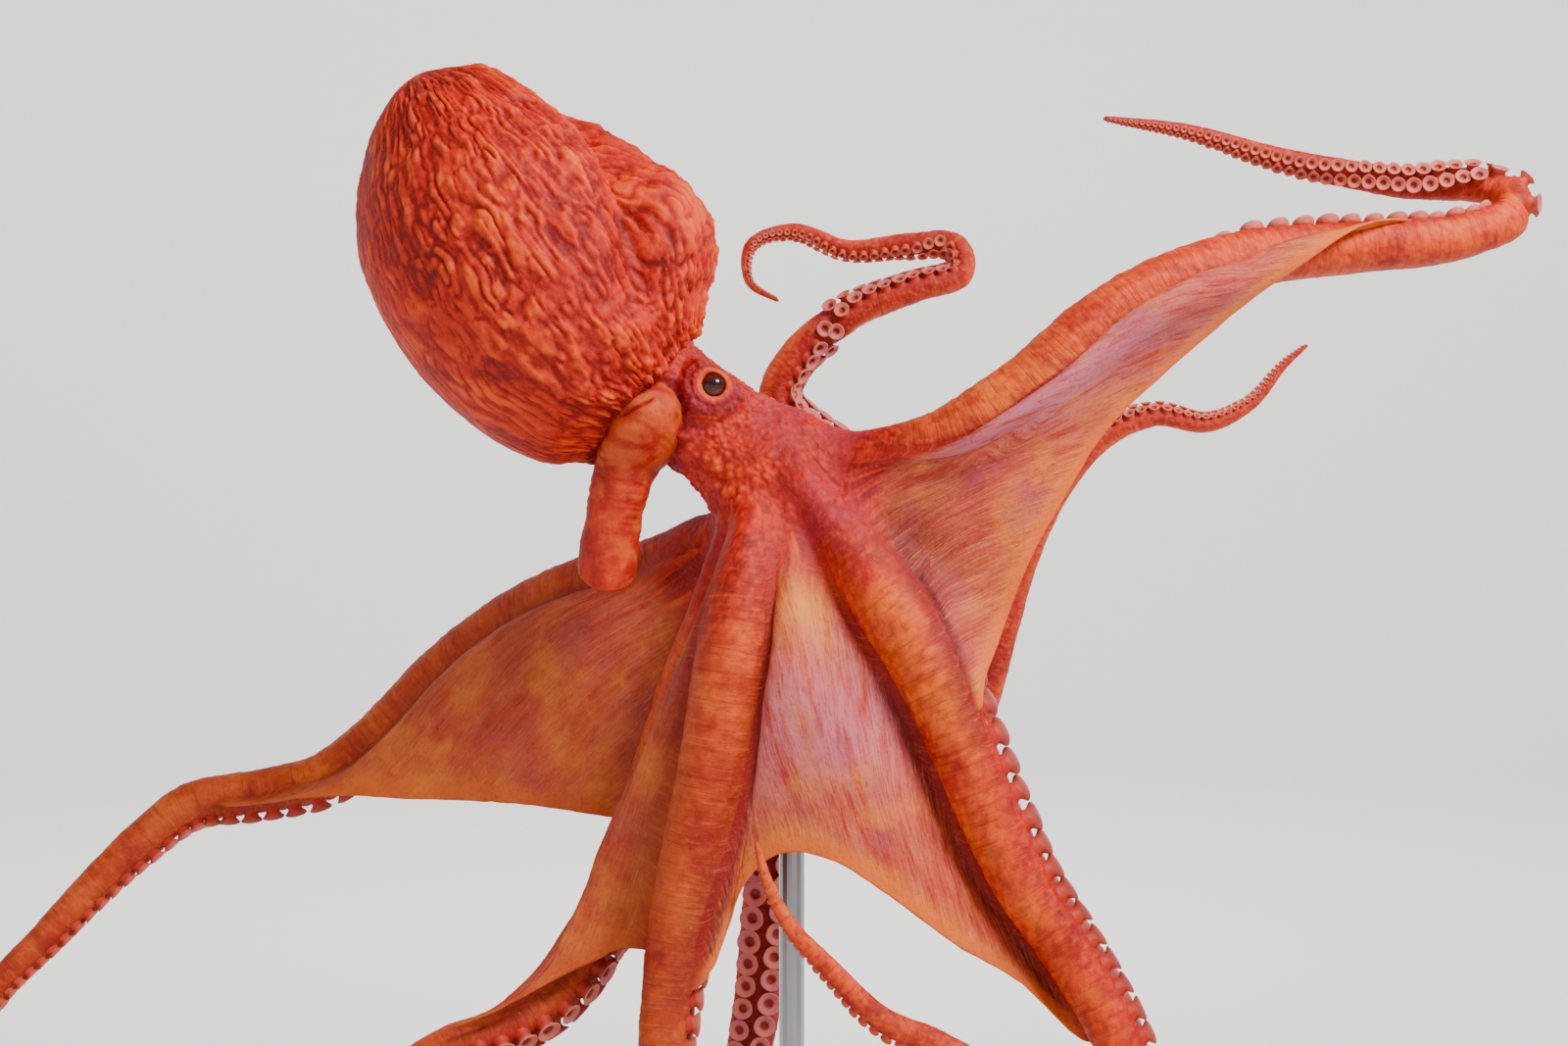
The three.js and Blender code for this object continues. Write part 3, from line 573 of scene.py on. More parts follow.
for k, arm in enumerate(arms):
    rings = int(round((arm["length"] - start) / armSize["ringGap"]))
    along = np.linspace(start, arm["length"], rings + 1)[:-1]
    turns = []
    for end, web in enumerate((webs[k], webs[k - 1])):
        places, values = web["turns"][end]
        fade = ease((along - places[-1]) / 70)  # back to an even ring past the web
        turns.append(mix(np.interp(along, places, values), 90, fade))
    even = (np.arange(around) + 0.5) * 360 / around
    toward = np.where(even < 180, even, 360 - even)
    edge = np.where(even[None] < 180, turns[0][:, None], turns[1][:, None])
    outerTurn, innerTurn = toward[None] * edge / 90, 180 - (180 - toward[None]) * (180 - edge) / 90
    turn = np.where(toward[None] <= 90, outerTurn, innerTurn)
    turn = np.where(even[None] < 180, turn, 360 - turn)
    full = np.repeat(along[:, None], around, axis=1)
    fromUnder = np.abs(180 - turn)
    ids = skin.add(
        armPoint(arm, full, turn), along=full / arm["length"], turn=turn, size=armFull(arm, full), arm=k,
        spread=1, oral=ease((fromUnder < 85) * (1 - fromUnder / 85) * 1.6),
    )
    arm["ids"], arm["rings"] = ids, along
    # the tube is left open where a web joins it
    arm["last"] = [int(np.argmin(np.abs(along - reach))) for reach in arm["webs"]]
    for i, (ring, ahead) in enumerate(zip(ids, ids[1:])):
        keep = np.ones(around, bool)
        for gap, last in zip((quarter - 1, around - quarter - 1), arm["last"]):
            keep[gap] = i >= last
        j = np.flatnonzero(keep)
        skin.faces.append(np.stack([ring[j], ring[following[j]], ahead[following[j]], ahead[j]], axis=1))
    skin.fan(ids[-1], skin.add(arm["line"].at(arm["length"] + 1.5), along=1, size=armSize["tip"], arm=k))


# way from the first row or column of a sheet to each point
def walked(sheet, axis):
    steps = np.cumsum(np.linalg.norm(np.diff(sheet, axis=axis), axis=2), axis=axis)
    return np.insert(steps, 0, 0, axis=axis)


for k, web in enumerate(webs):
    arm, after = arms[k], arms[(k + 1) % 8]
    sheet, u, v = web["sheet"], web["u"], web["v"]
    inner = slice(1, -1)
    out = np.gradient(sheet, axis=0)
    normal = unit(np.cross(out, np.gradient(sheet, axis=1)))
    wide = np.linalg.norm(sheet[:, 0] - sheet[:, -1], axis=1)
    ends = np.minimum(u, 1 - u)[None] * wide[:, None]  # way to the nearer arm
    thinner = mix(1, 0.72, ease((v - 0.75) / 0.25))  # toward the free edge
    half = webSize["thick"] / 2 * mix(1.5, 1, ease(ends / 22)) * thinner[:, None]
    weaveU = walked(sheet, 1)
    everywhere = np.ones_like(ends)
    knows = {
        "share": u * everywhere, "web": ease(ends / 30), "side": 1 - ease(ends / 60),
        "weaveU": weaveU - weaveU[:, -1:] / 2, "weaveV": walked(sheet, 0),
        "rim": everywhere * ease((v - 0.8) / 0.2)[:, None],
        "along": mix(
            web["along"][0][:, None] / arm["length"], web["along"][1][:, None] / after["length"], u[None],
        ),
    }
    knows = {name: values[:, inner] for name, values in knows.items()}
    same = {"size": 26, "arm": k, "spread": 1}
    # the side that faces away from the mouth is the outer one
    shift = normal * half[..., None] * (-1 if np.mean(dot(web["outward"], normal)) < 0 else 1)
    outerIds = skin.add((sheet + shift)[:, inner], face=1, **knows, **same)
    innerIds = skin.add((sheet - shift)[:, inner], face=-1, oral=0.45, **knows, **same)
    skin.grid(outerIds)
    skin.grid(innerIds[:, ::-1])
    hem = sheet[-1, inner] + unit(out[-1, inner]) * webSize["hemOut"]
    hemIds = skin.add(hem, **{name: values[-1] for name, values in knows.items()}, **same)
    skin.strip(outerIds[-1], hemIds)
    skin.strip(hemIds, innerIds[-1])
    # both faces of the web are sewn to the open sides of its two arms
    for end, which, outerAt, innerAt in (
        (0, arm, quarter - 1, quarter), (1, after, around - quarter, around - quarter - 1),
    ):
        n = which["last"][end] + 1
        outerSide, innerSide = which["ids"][:n, outerAt], which["ids"][:n, innerAt]
        outerColumn, innerColumn, hemEnd = outerIds[:, -end], innerIds[:, -end], hemIds[-end]
        places = np.clip((which["rings"][:n] - start) / (web["reach"][end] - start), 0, 1)
        outerRails = [(outerColumn, v), (outerSide, places)]
        innerRails = [(innerSide, places), (innerColumn, v)]
        corners = [
            (outerSide[-1], outerColumn[-1], hemEnd), (outerSide[-1], hemEnd, innerSide[-1]),
            (innerSide[-1], hemEnd, innerColumn[-1]),
        ]
        if end == 1:
            outerRails, innerRails = outerRails[::-1], innerRails[::-1]
            corners = [(b, a, c) for a, b, c in corners]
        for (a, placesA), (b, placesB) in (outerRails, innerRails):
            skin.zip(a, placesA, b, placesB)
        skin.triangles(corners)
    web["outerIds"], web["innerIds"] = outerIds, innerIds
print("arms and webs joined,", skin.count, "points")

# one closed loop of points round the arms and webs, outside and inside
loops = {"outer": [], "next": [], "inner": [], "turns": []}
armHalf = crown["armHalf"]
webSpan = np.linspace(armHalf, crown["apart"] - armHalf, webSize["columns"] + 1)[1:-1]
for k, (arm, web) in enumerate(zip(arms, webs)):
    middle = crown["firstArm"] + crown["apart"] * k
    loops["outer"] += [arm["ids"][0][outerArc], web["outerIds"][0]]
    loops["next"] += [arm["ids"][1][outerArc], web["outerIds"][1]]
    loops["inner"] += [arm["ids"][0][innerArc][::-1], web["innerIds"][0]]
    loops["turns"] += [np.linspace(-armHalf, armHalf, len(outerArc)) + middle, webSpan + middle]
outerLoop, nextLoop, innerLoop, crownTurns = [np.concatenate(part) for part in loops.values()]
count = len(outerLoop)
evenTurns = (np.arange(count) - (len(outerArc) - 1) / 2) * 360 / count + crown["firstArm"]

sections = curveThrough(bodyRows)
steps = np.linalg.norm(np.diff(sections[:, :2], axis=0), axis=1) + np.abs(np.diff(sections[:, 2])) * 0.5
trail = np.concatenate([[0], np.cumsum(steps)])
neckAt = trail[mantle["neck"] * perSpan]
stops = np.concatenate([
    [0.4, 1.2], np.arange(2.5, neckAt - 25, mantle["rowGap"]),
    np.arange(neckAt - 25, trail[-1], mantle["neckGap"]),
])
rows = np.stack([np.interp(stops, trail, c) for c in sections.T], axis=-1)
middles = np.stack([rows[:, 0], np.zeros(len(rows)), rows[:, 1]], axis=-1)
ahead = unit(np.gradient(smoothRows(middles, 6), axis=0))
backs = np.stack([-ahead[:, 2], np.zeros(len(rows)), ahead[:, 0]], axis=-1)
toCrown = ease((stops - neckAt) / (trail[-1] - neckAt))
turns = mix(evenTurns[None], crownTurns[None], toCrown[:, None])
c, s = circle(turns)
share = stops / neckAt
grooveAt = mix(*mantle["groove"], np.clip((share - mantle["grooveFrom"]) / 0.45, 0, 1))
fold = np.abs((turns + 180) % 360 - 180) - smoothRows(grooveAt, 20)[:, None]
opening = ease((share - 0.08) / 0.2) * (1 - ease((share - 0.72) / 0.25))
dip = 1 - mantle["grooveDepth"] * opening[:, None] * hump(fold, 0, mantle["grooveHalf"])
dip = dip + mantle["ridge"] * opening[:, None] * hump(fold, mantle["ridgeAt"], mantle["ridgeHalf"])
reach = np.where(c > 0, rows[:, 2:3], rows[:, 3:4]) * dip
body = middles[:, None] + backs[:, None] * (c * reach)[..., None]
body = body + rightward * (s * rows[:, 4:5] * dip)[..., None]
mantleMask = 1 - ease((stops - neckAt + 8) / 10)
headMask = ease((stops - neckAt + 4) / 8)

# the mounds, lids and sockets of the eyes
eyes = []
for name, sign in (("eye_right", -1), ("eye_left", 1)):
    low, high = boxOf(name)
    eye = {"name": name, "at": (low + high) / 2, "radius": (high - low)[2] / 2}
    eye["axis"] = unit(np.array([0.1, sign, 0.2]))
    eye["open"] = eye["radius"] * lids["open"]
    eyes.append(eye)
    offset = body - eye["at"]
    height = dot(offset, eye["axis"])[..., 0]
    flat = offset - eye["axis"] * height[..., None]
    radius = np.linalg.norm(flat * np.array([1.06, 1, 0.97]), axis=-1)
    crest = eye["open"] + lids["crest"]
    mound = lids["mound"] - np.where(radius > crest, lids["fall"][1], lids["fall"][0]) * (radius - crest) ** 2
    nearSide = ease((height + 26) / 16) * ease((lids["reach"] - radius) / 16)
    raised = mix(height, softMax(height, mound, 9), nearSide)
    raised = np.where(radius < crest, mix(raised, mound, nearSide * ease((crest - radius) / 3)), raised)
    inSocket = nearSide * ease((eye["open"] - radius) / 1.2)
    raised = mix(raised, -lids["socket"] - lids["slope"] * (eye["open"] - radius), inSocket)
    body = body + eye["axis"] * (raised - height)[..., None]
    # behind the lids the skin keeps clear of the eyeball
    offset = body - eye["at"]
    distance = np.linalg.norm(offset, axis=-1)
    short = np.clip(eye["radius"] + lids["clear"] - distance, 0, None)
    covered = ease((9 - raised) / 6) * (radius >= eye["open"]) * short
    body = body + unit(offset) * covered[..., None]

apex = skin.add(middles[0] - ahead[0] * 0.5, mantle=1, size=38)
bodyIds = skin.add(
    body, mantle=mantleMask[:, None], head=headMask[:, None], turn=turns, size=38, weaveU=stops[:, None],
)
skin.fan(bodyIds[0], apex, first=True)

# the head flows out over the arms
allPoints = np.concatenate(skin.points)
lastRow, beforeRow = body[-1], body[-3]
farRow, beyondRow = allPoints[outerLoop], allPoints[nextLoop]
gap = np.linalg.norm(farRow - lastRow, axis=1, keepdims=True)
leave = unit(lastRow - beforeRow) * gap * 0.95
arrive = unit(beyondRow - farRow) * gap * 0.95
flowRows = 36
t = (np.arange(1, flowRows) / flowRows)[:, None, None]
flow = hermite(lastRow[None], farRow[None], leave[None], arrive[None], t)
flowIds = skin.add(flow, head=1, turn=crownTurns, size=38, spread=t[:, 0], weaveU=trail[-1] + t[:, 0] * 60)
skin.grid([*bodyIds, *flowIds, outerLoop], closed=True)

# the underside closes in on the mouth
mouth = crownAt + forward * 8
innerRow = allPoints[innerLoop]
cupRows = 22
t = (np.arange(1, cupRows) / cupRows)[:, None, None]
lips = 12 * np.sin(np.pi * t) ** 2 + 9 * hump(t, 0.86, 0.07)  # the cup and the ring of the mouth
cup = mix(innerRow[None], mouth[None, None], t) + forward * lips
cupIds = skin.add(cup, oral=1, size=38, spread=1)
skin.grid([innerLoop, *cupIds], closed=True)
skin.fan(cupIds[-1], skin.add(mouth - forward * 14, oral=1, size=38))

# the funnel, from under the edge of the mantle to its open mouth
line, n = Line(funnel["line"]), funnel["rows"]
t = np.linspace(0, 1, n)
deep, wide = [np.interp(t, np.linspace(0, 1, len(funnel[way])), funnel[way]) for way in ("deep", "wide")]
for radii in (deep, wide):
    for _ in range(10):
        radii[1:-1] = (radii[:-2] + 2 * radii[1:-1] + radii[2:]) / 4
walls = list(zip(line.at(t * line.length), line.heading(t * line.length), deep, wide))
end, endWay = walls[-1][:2]
for out, grown in funnel["lip"]:
    place = np.array([line.length + out])
    at = line.at(place)[0] if out < 0 else end + endWay * out
    heading = endWay if out > -5 else line.heading(place)[0]
    walls.append((at, heading, deep[-1] + grown, wide[-1] + grown))
ringTurns = np.arange(funnel["around"]) * 2 * np.pi / funnel["around"]
tube = []
for i, (at, heading, d, w) in enumerate(walls):
    skew = -np.cos(ringTurns) * w * funnel["slant"] * ease((i / n - 0.72) / 0.28)
    sideways = unit(np.array([0, 1.0, 0]) - heading * heading[1])
    depth = np.cross(heading, sideways)
    ring = sideways * (np.cos(ringTurns) * w)[:, None] + depth * (np.sin(ringTurns) * d)[:, None]
    tube.append(at + ring + heading * skew[:, None])
tube = np.array(tube)
downTube = np.linspace(0, 1, len(tube))[:, None]
tubeIds = skin.add(
    tube, siphon=downTube * 0.8 + 0.2, size=30, turn=np.degrees(ringTurns),
    weaveV=np.arange(len(tube))[:, None] * 1.5,
)
skin.grid(tubeIds, closed=True)
skin.fan(tubeIds[0], skin.add(tube[0].mean(axis=0), siphon=0.2, size=30), first=True)
skin.fan(tubeIds[-1], skin.add(tube[-1].mean(axis=0), siphon=1, size=30))

points = np.concatenate(skin.points)
faces = np.concatenate(skin.faces)
facts = {name: np.concatenate(values) for name, values in skin.facts.items()}
print("skin laid out:", len(points), "points,", len(faces), "faces")


# every point's outward way, from the faces round it
def outwardOf(points, faces):
    corners = np.where(faces[:, 3:4] >= 0, faces, faces[:, [0, 1, 2, 2]])
    a, b, c, d = [points[corners[:, i]] for i in range(4)]
    way = np.cross(c - a, d - b)
    total = np.zeros_like(points)
    for i in range(4):
        used = faces[:, i] >= 0
        for axis in range(3):
            total[:, axis] += np.bincount(faces[used, i], weights=way[used, axis], minlength=len(points))
    return unit(total)


def soften(points, faces, times, amount):
    # each point drifts toward the middle of its neighbours
    pairs = [faces[:, [i, j]] for i, j in ((0, 1), (1, 2))]
    quads = faces[faces[:, 3] >= 0]
    tris = faces[faces[:, 3] < 0]
    pairs = np.concatenate(pairs + [quads[:, [2, 3]], quads[:, [3, 0]], tris[:, [2, 0]]])
    links = np.bincount(pairs.ravel(), minlength=len(points)).astype(float)
    for _ in range(times):
        total = np.zeros_like(points)
        for axis in range(3):
            for here, there in (pairs.T, pairs.T[::-1]):
                total[:, axis] += np.bincount(here, weights=points[there, axis], minlength=len(points))
        points = mix(points, total / links[:, None], amount)
    return points


# values: for each attribute, the three numbers that every point carries
def makeMesh(name, points, faces, values=None):
    mesh = bpy.data.meshes.new(name)
    loops = np.where(faces[:, 3] >= 0, 4, 3)
    starts = np.concatenate([[0], np.cumsum(loops)[:-1]])
    corners = faces[faces >= 0]
    mesh.vertices.add(len(points))
    mesh.vertices.foreach_set("co", (points * toMetres).astype(np.float32).ravel())
    mesh.loops.add(len(corners))
    mesh.loops.foreach_set("vertex_index", corners.astype(np.int32))
    mesh.polygons.add(len(faces))
    mesh.polygons.foreach_set("loop_start", starts.astype(np.int32))
    mesh.polygons.foreach_set("loop_total", loops.astype(np.int32))
    mesh.update(calc_edges=True)
    mesh.shade_smooth()
    for key, columns in (values or {}).items():
        attribute = mesh.attributes.new(key, "FLOAT_VECTOR", "POINT")
        attribute.data.foreach_set("vector", np.stack(columns, axis=-1).astype(np.float32).ravel())
    made = bpy.data.objects.new(name, mesh)
    bpy.context.scene.collection.objects.link(made)
    return made


# folds, ridges and bumps of the skin as a height in millimetres, and as a crest for the colours:
# above 0 on what stands out, below 0 in what lies deep. The colours follow the crest as painted light:
# lighter on what stands out as painted highlight, darker in hollows, creases and furrows as painted shade;
# the orange ring round each eye is the skin's own, and on the funnel it also darkens toward the mouth
folds = {"lumps": 2.0, "small": 0.9, "beads": 1.9, "broad": 4.2, "swell": 3, "frill": 2.6}
warts = {"small": 2.5, "knobs": (0.5, 4.0), "rough": 1.0, "chainAt": 118}
armRelief = {"knots": 1.3, "rough": 0.9, "crinkle": 2.2, "joins": 110, "melts": (90, 110)}
webRelief = {"fibres": 0.35, "waves": 1.6}
hoopRelief = {"rough": 1.2, "hoops": 0.7}
crease = {"from": (-76, 1034.0), "to": (-36, 1055.0), "length": 44, "deep": 4.5, "edge": 1.2}
eyeRings = {"calm": 5, "high": 0.45, "furrow": 13, "deep": 1.6}

armOf = facts["arm"].astype(int)
webReach = np.array([arm["webs"] for arm in arms], float)[armOf]
joined = np.where(facts["turn"] < 180, webReach[:, 0], webReach[:, 1])
near = facts["along"] * np.array([arm["length"] for arm in arms])[armOf]
spread = facts["spread"]
settled = ease((near - start) / armRelief["joins"])
facts["head"] = np.where((spread == 1) & (near >= start), 1 - ease((near - start + 4) / 120), facts["head"])
mantleMask, headMask, webMask = facts["mantle"], facts["head"], facts["web"]
onArm = (facts["along"] > 0) & (webMask == 0)
c, s = circle(facts["turn"])
height = np.zeros(len(points))
crest = np.zeros(len(points))

# the mantle: long ridges, finer ones and beads, over a few broad folds
use = np.where(mantleMask > 0.01)[0]
down, mask = facts["weaveU"][use], mantleMask[use]
drift = np.stack([layers(points[use] / 38, 2, 31 + i) for i in range(3)], axis=-1)
domain = np.stack([c[use] * 20, s[use] * 20, down / 29], axis=-1) + drift * np.array([0.8, 0.8, 0.6])
lumps = ridges(domain, 3)
small = ridges(domain * np.array([1.7, 1.7, 2.2]) + 5, 5)
beads = np.clip(1 - bumpField(points[use] / 7, 8) * 1.2, 0, 1)
broad = noise(np.stack([c[use] * 4.6, s[use] * 4.6, down / 120], axis=-1) + drift * 0.4, 9)
side = c[use] * 0.9 + s[use] * 0.45
strong = (0.25 + 0.75 * ease((side + 0.55) / 0.9)) * ease((down - 6) / 60)
# painted light: the ridges, beads and the frill at the neck are coloured lighter as painted highlight, the
# hollows between them darker as painted shade
crest[use] = (lumps * 0.65 + small * 0.3 + beads * 0.5 + broad * 0.35 - 0.12) * mask
height[use] = mask * strong * (
    folds["lumps"] * lumps + folds["small"] * small + folds["beads"] * beads + folds["broad"] * broad
)
height[use] += mask * folds["swell"] * noise(points[use] / 80, 12)
# pleats gather at the neck
pleat = np.cos(np.radians(facts["turn"][use]) * 58 + 5 * noise(points[use] / 15, 14))
pleat = pleat * hump(down, neckAt - 20, 24)
height[use] += mix(0.4, 1.5, ease(c[use] + 0.6)) * pleat * mask
frill = ridges(points[use] / 9, 15)
height[use] += folds["frill"] * frill * hump(down, neckAt - 10, 16) * mask
crest[use] += 0.5 * frill * hump(down, neckAt - 10, 18)

# the head: small warts, and knobs in a chain from under the eye down the side of the crown
use = np.where(headMask > 0.02)[0]
fineWart = np.clip(1 - bumpField(points[use] / 5.6, 21) * 1.25, 0, 1)
knob = np.clip(1 - bumpField(points[use] / 11, 27) * 1.3, 0, 1) ** 1.1
chain = hump(facts["turn"][use] % 180, warts["chainAt"], 26) * ease((facts["weaveU"][use] - neckAt - 12) / 20)
rough = 0.4 + 0.9 * ease(noise(points[use] / 24, 23) * 1.3 + 0.4)
wart = fineWart * rough * warts["small"] + knob * (warts["knobs"][0] + warts["knobs"][1] * chain)
fading = mix(1, 0.2, ease(spread[use]))
height[use] += headMask[use] * fading * (wart + warts["rough"] * layers(points[use] / 8, 3, 25))
# painted light: the warts are coloured lighter as painted highlight, the skin between them darker as painted
# shade
crest[use] += headMask[use] * (np.minimum(wart / 2.4, 1.4) * mix(1, 0.5, spread[use]) - 0.3)

# the arms: knots on the outer face, crinkles across the side
use = np.where(onArm)[0]
size = facts["size"][use] / 38
upper = 1 - facts["oral"][use]
knots = np.clip(1 - bumpField(points[use] / mix(5, 8.5, size)[:, None], 41) * 1.3, 0, 1)
bumps = armRelief["knots"] * knots + armRelief["rough"] * layers(points[use] / 14, 3, 43)
height[use] += settled[use] * size * upper * bumps
crinkleAt = [facts["along"][use] * 210, c[use] * 1.5, s[use] * 1.5 + facts["arm"][use] * 7]
crinkle = 0.5 - np.abs(noise(np.stack(crinkleAt, axis=-1), 45))
beyondWeb = ease((near - joined)[use] / 50 + 0.5)
height[use] += size * armRelief["crinkle"] * crinkle * hump(c[use], -0.25, 0.35) * beyondWeb
# painted light: the knots of the outer face are coloured lighter as painted highlight, the skin between them
# darker as painted shade
crest[use] += (knots - 0.3) * upper

# the webs: fibres that run to the free edge, and slow waves
use = np.where(webMask > 0.01)[0]
weave = np.stack([facts["weaveU"][use] / 5.5, facts["weaveV"][use] / 46, facts["arm"][use] * 9.0], axis=-1)
weave[:, 0] += 2.5 * noise(points[use] / 50, 51)
fibres = layers(weave, 2, 53)
waves = facts["face"][use] * webRelief["waves"] * noise(points[use] / 38, 55)
height[use] += webMask[use] * (webRelief["fibres"] * fibres + waves)
crest[use] += webMask[use] * fibres
height += 0.35 * noise(points / 3.6, 61)

# the funnel: faint hoops, and a crease where it comes out from under the mantle
use = np.where(facts["siphon"] > 0)[0]
hoops = np.stack([facts["weaveV"][use] / 5, c[use] * 1.3, s[use] * 1.3], axis=-1)
height[use] = hoopRelief["rough"] * layers(points[use] / 18, 3, 71)
height[use] += hoopRelief["hoops"] * (0.6 - np.abs(noise(hoops, 73)) * 2)
crest[use] = 0.75 - 0.9 * facts["siphon"][use] + 0.5 * layers(points[use] / 14, 2, 75)
creaseWay = unit(np.subtract(crease["to"], crease["from"]))
fromCrease = points[use][:, [0, 2]] - crease["from"]
across = fromCrease[:, 0] * creaseWay[1] - fromCrease[:, 1] * creaseWay[0]
beside = fromCrease @ creaseWay
within = ease(beside / 8) * ease((crease["length"] - beside) / 8) * (points[use][:, 1] < 0)
height[use] -= crease["deep"] * hump(across, 0, 2.0) * within - crease["edge"] * hump(across, -6, 5) * within
# painted shade: the crease is coloured darker
crest[use] -= 2.0 * hump(across, 0, 1.6) * within

# a cleft runs where the funnel leaves the body, coloured darker in it as painted shade
wall = tube[: funnel["rows"] : 3, ::8].reshape(-1, 3)
besides = np.all((points > wall.min(axis=0) - 14) & (points < wall.max(axis=0) + 14), axis=1)
use = np.where(besides & (facts["mantle"] + facts["head"] > 0.5) & (facts["siphon"] == 0))[0]
clear = np.concatenate([
    np.sqrt(np.min(((points[part][:, None] - wall[None]) ** 2).sum(axis=2), axis=1))
    for part in np.array_split(use, 60)
])
height[use] = height[use] * (1 - 0.6 * hump(clear, 1, 5)) - 5 * hump(clear, 2, 6)
crest[use] -= 1.9 * hump(clear, 2, 8)

# rings of fine folds round each eye, with a furrow outside them; the ring next to the eye is coloured orange
# and the furrow darker as painted shade
for eye in eyes:
    offset = points - eye["at"]
    lengthwise = dot(offset, eye["axis"])[:, 0]
    radius = np.linalg.norm(offset - eye["axis"] * lengthwise[:, None], axis=1)
    close = (lengthwise > -16) & (lengthwise < 40) & (radius < 40)
    height *= np.where(close, ease((radius - eye["open"] - eyeRings["calm"]) / 10), 1)
    rings = np.sin((radius - eye["open"]) * 1.5) + 1.4 * noise(points / 2.6, 81)
    height += eyeRings["high"] * rings * hump(radius, eye["open"] + 6, 6) * close
    furrow = eye["open"] + eyeRings["furrow"]
    height -= eyeRings["deep"] * hump(radius, furrow, 3.5) * close
    crest += close * (1.3 * hump(radius, eye["open"] + 3, 5) - 1.9 * hump(radius, furrow, 5))

points = soften(points, faces, 3, 0.35)
# the roots of the arms and webs melt into the head
meltFrom, meltOver = armRelief["melts"]
melt = (1 - ease((near - meltFrom) / meltOver)) * (facts["mantle"] + facts["siphon"] == 0)
melt = melt * ease(spread / 0.3)
points = soften(points, faces, 80, 0.5 * melt[:, None])
points = points + outwardOf(points, faces) * height[:, None]
print("folds raised")

# where the colour turns: the outer band of each arm, an orange that is partly painted highlight; the grooves
# beside the webs, darkened as painted shade; the duller rear arms
spot, down, across, share = facts["turn"], facts["weaveV"], facts["weaveU"], facts["share"]
fromSide = np.abs(np.where(spot < 180, spot, 360 - spot) - 84)
# painted shade: darker in the groove where a web leaves its arm, and on the web beside the arm
groove = onArm * hump(fromSide, 0, 22) * (1 - ease((near - joined) / 60))
groove = np.maximum(groove, facts["side"]) * settled
# the outer face of each arm is lighter orange, partly its own tone and partly painted highlight
outerBandAndHighlight = onArm * ease((c + 0.1) / 0.7) * settled + 0.25 * (facts["siphon"] > 0)
dull = np.isin(facts["arm"], [2, 3, 4]) * ease((near - 60) / 260)
# gold patches, with painted highlight along the hems; dark patches of painted shade in the folds; lilac
# patches, partly a painted highlight streak; on the two webs next to the first arms
firstWeb, secondWeb = [(facts["arm"] == k) * (facts["face"] != 0) for k in (0, 1)]
goldAndHemHighlight = secondWeb * hump(down, 75, 55) * hump(across, -10, 45)
# painted highlight along the free edge of every web, over its own orange
goldAndHemHighlight = goldAndHemHighlight + 0.6 * hump(facts["rim"], 1, 0.4) * (facts["face"] != 0)
goldAndHemHighlight = goldAndHemHighlight + onArm * outerBandAndHighlight * (facts["arm"] < 2) * 0.8 * hump(near, 230, 110)
# painted shade: dark in the folds of the first web beside its arms, and along both sides of the second web by
# the arms
paintedShade = hump(share, 1, 0.42) * hump(down, 70, 90) * 1.2 + 0.8 * hump(share, 0, 0.16) * hump(down, 470, 120)
paintedShade = firstWeb * paintedShade + secondWeb * (hump(share, 0, 0.12) + hump(share, 1, 0.1)) * 0.8
# lilac: a painted highlight streak across the first web, and a violet tone on the second
lilacAndHighlight = firstWeb * hump(share, 0.24, 0.12) * hump(down, 200, 150) + secondWeb * hump(down, 190, 70) * 0.7
skinFacts = {
    "place": (facts["along"], facts["oral"], webMask * settled),
    "reliefLightAndMasks": (crest, mantleMask, headMask),
    "weave": (facts["weaveU"], facts["weaveV"], facts["rim"]),
    "toneAndShade": (outerBandAndHighlight, groove, dull),
    "patchesAndPaintedLight": (goldAndHemHighlight * settled, paintedShade * settled, lilacAndHighlight * settled),
}
skinPiece = makeMesh("skin", points, faces, skinFacts)
print("skin made")


# a colour from the usual numbers up to 255
def tint(*rgb):
    return (*[(c / 255) ** 2.2 for c in rgb], 1)


class Wire:
    # one output of a shader node, with ordinary arithmetic
    def __init__(self, graph, node, output=0):
        self.graph, self.node = graph, node
        self.socket = node.outputs[output] if len(node.outputs) else None

    def __getitem__(self, output):
        return Wire(self.graph, self.node, output)

    def __add__(self, other):
        return self.graph.maths("ADD", self, other)

    def __sub__(self, other):
        return self.graph.maths("SUBTRACT", self, other)

    def __rsub__(self, other):
        return self.graph.maths("SUBTRACT", other, self)

    def __mul__(self, other):
        return self.graph.maths("MULTIPLY", self, other)

    __radd__ = __add__
    __rmul__ = __mul__

    # 0 below low, 1 above high, with soft ends
    def ramp(self, low, high):
        smooth = {"interpolation_type": "SMOOTHSTEP"}
        return self.graph.node("ShaderNodeMapRange", smooth, Value=self, From_Min=low, From_Max=high)


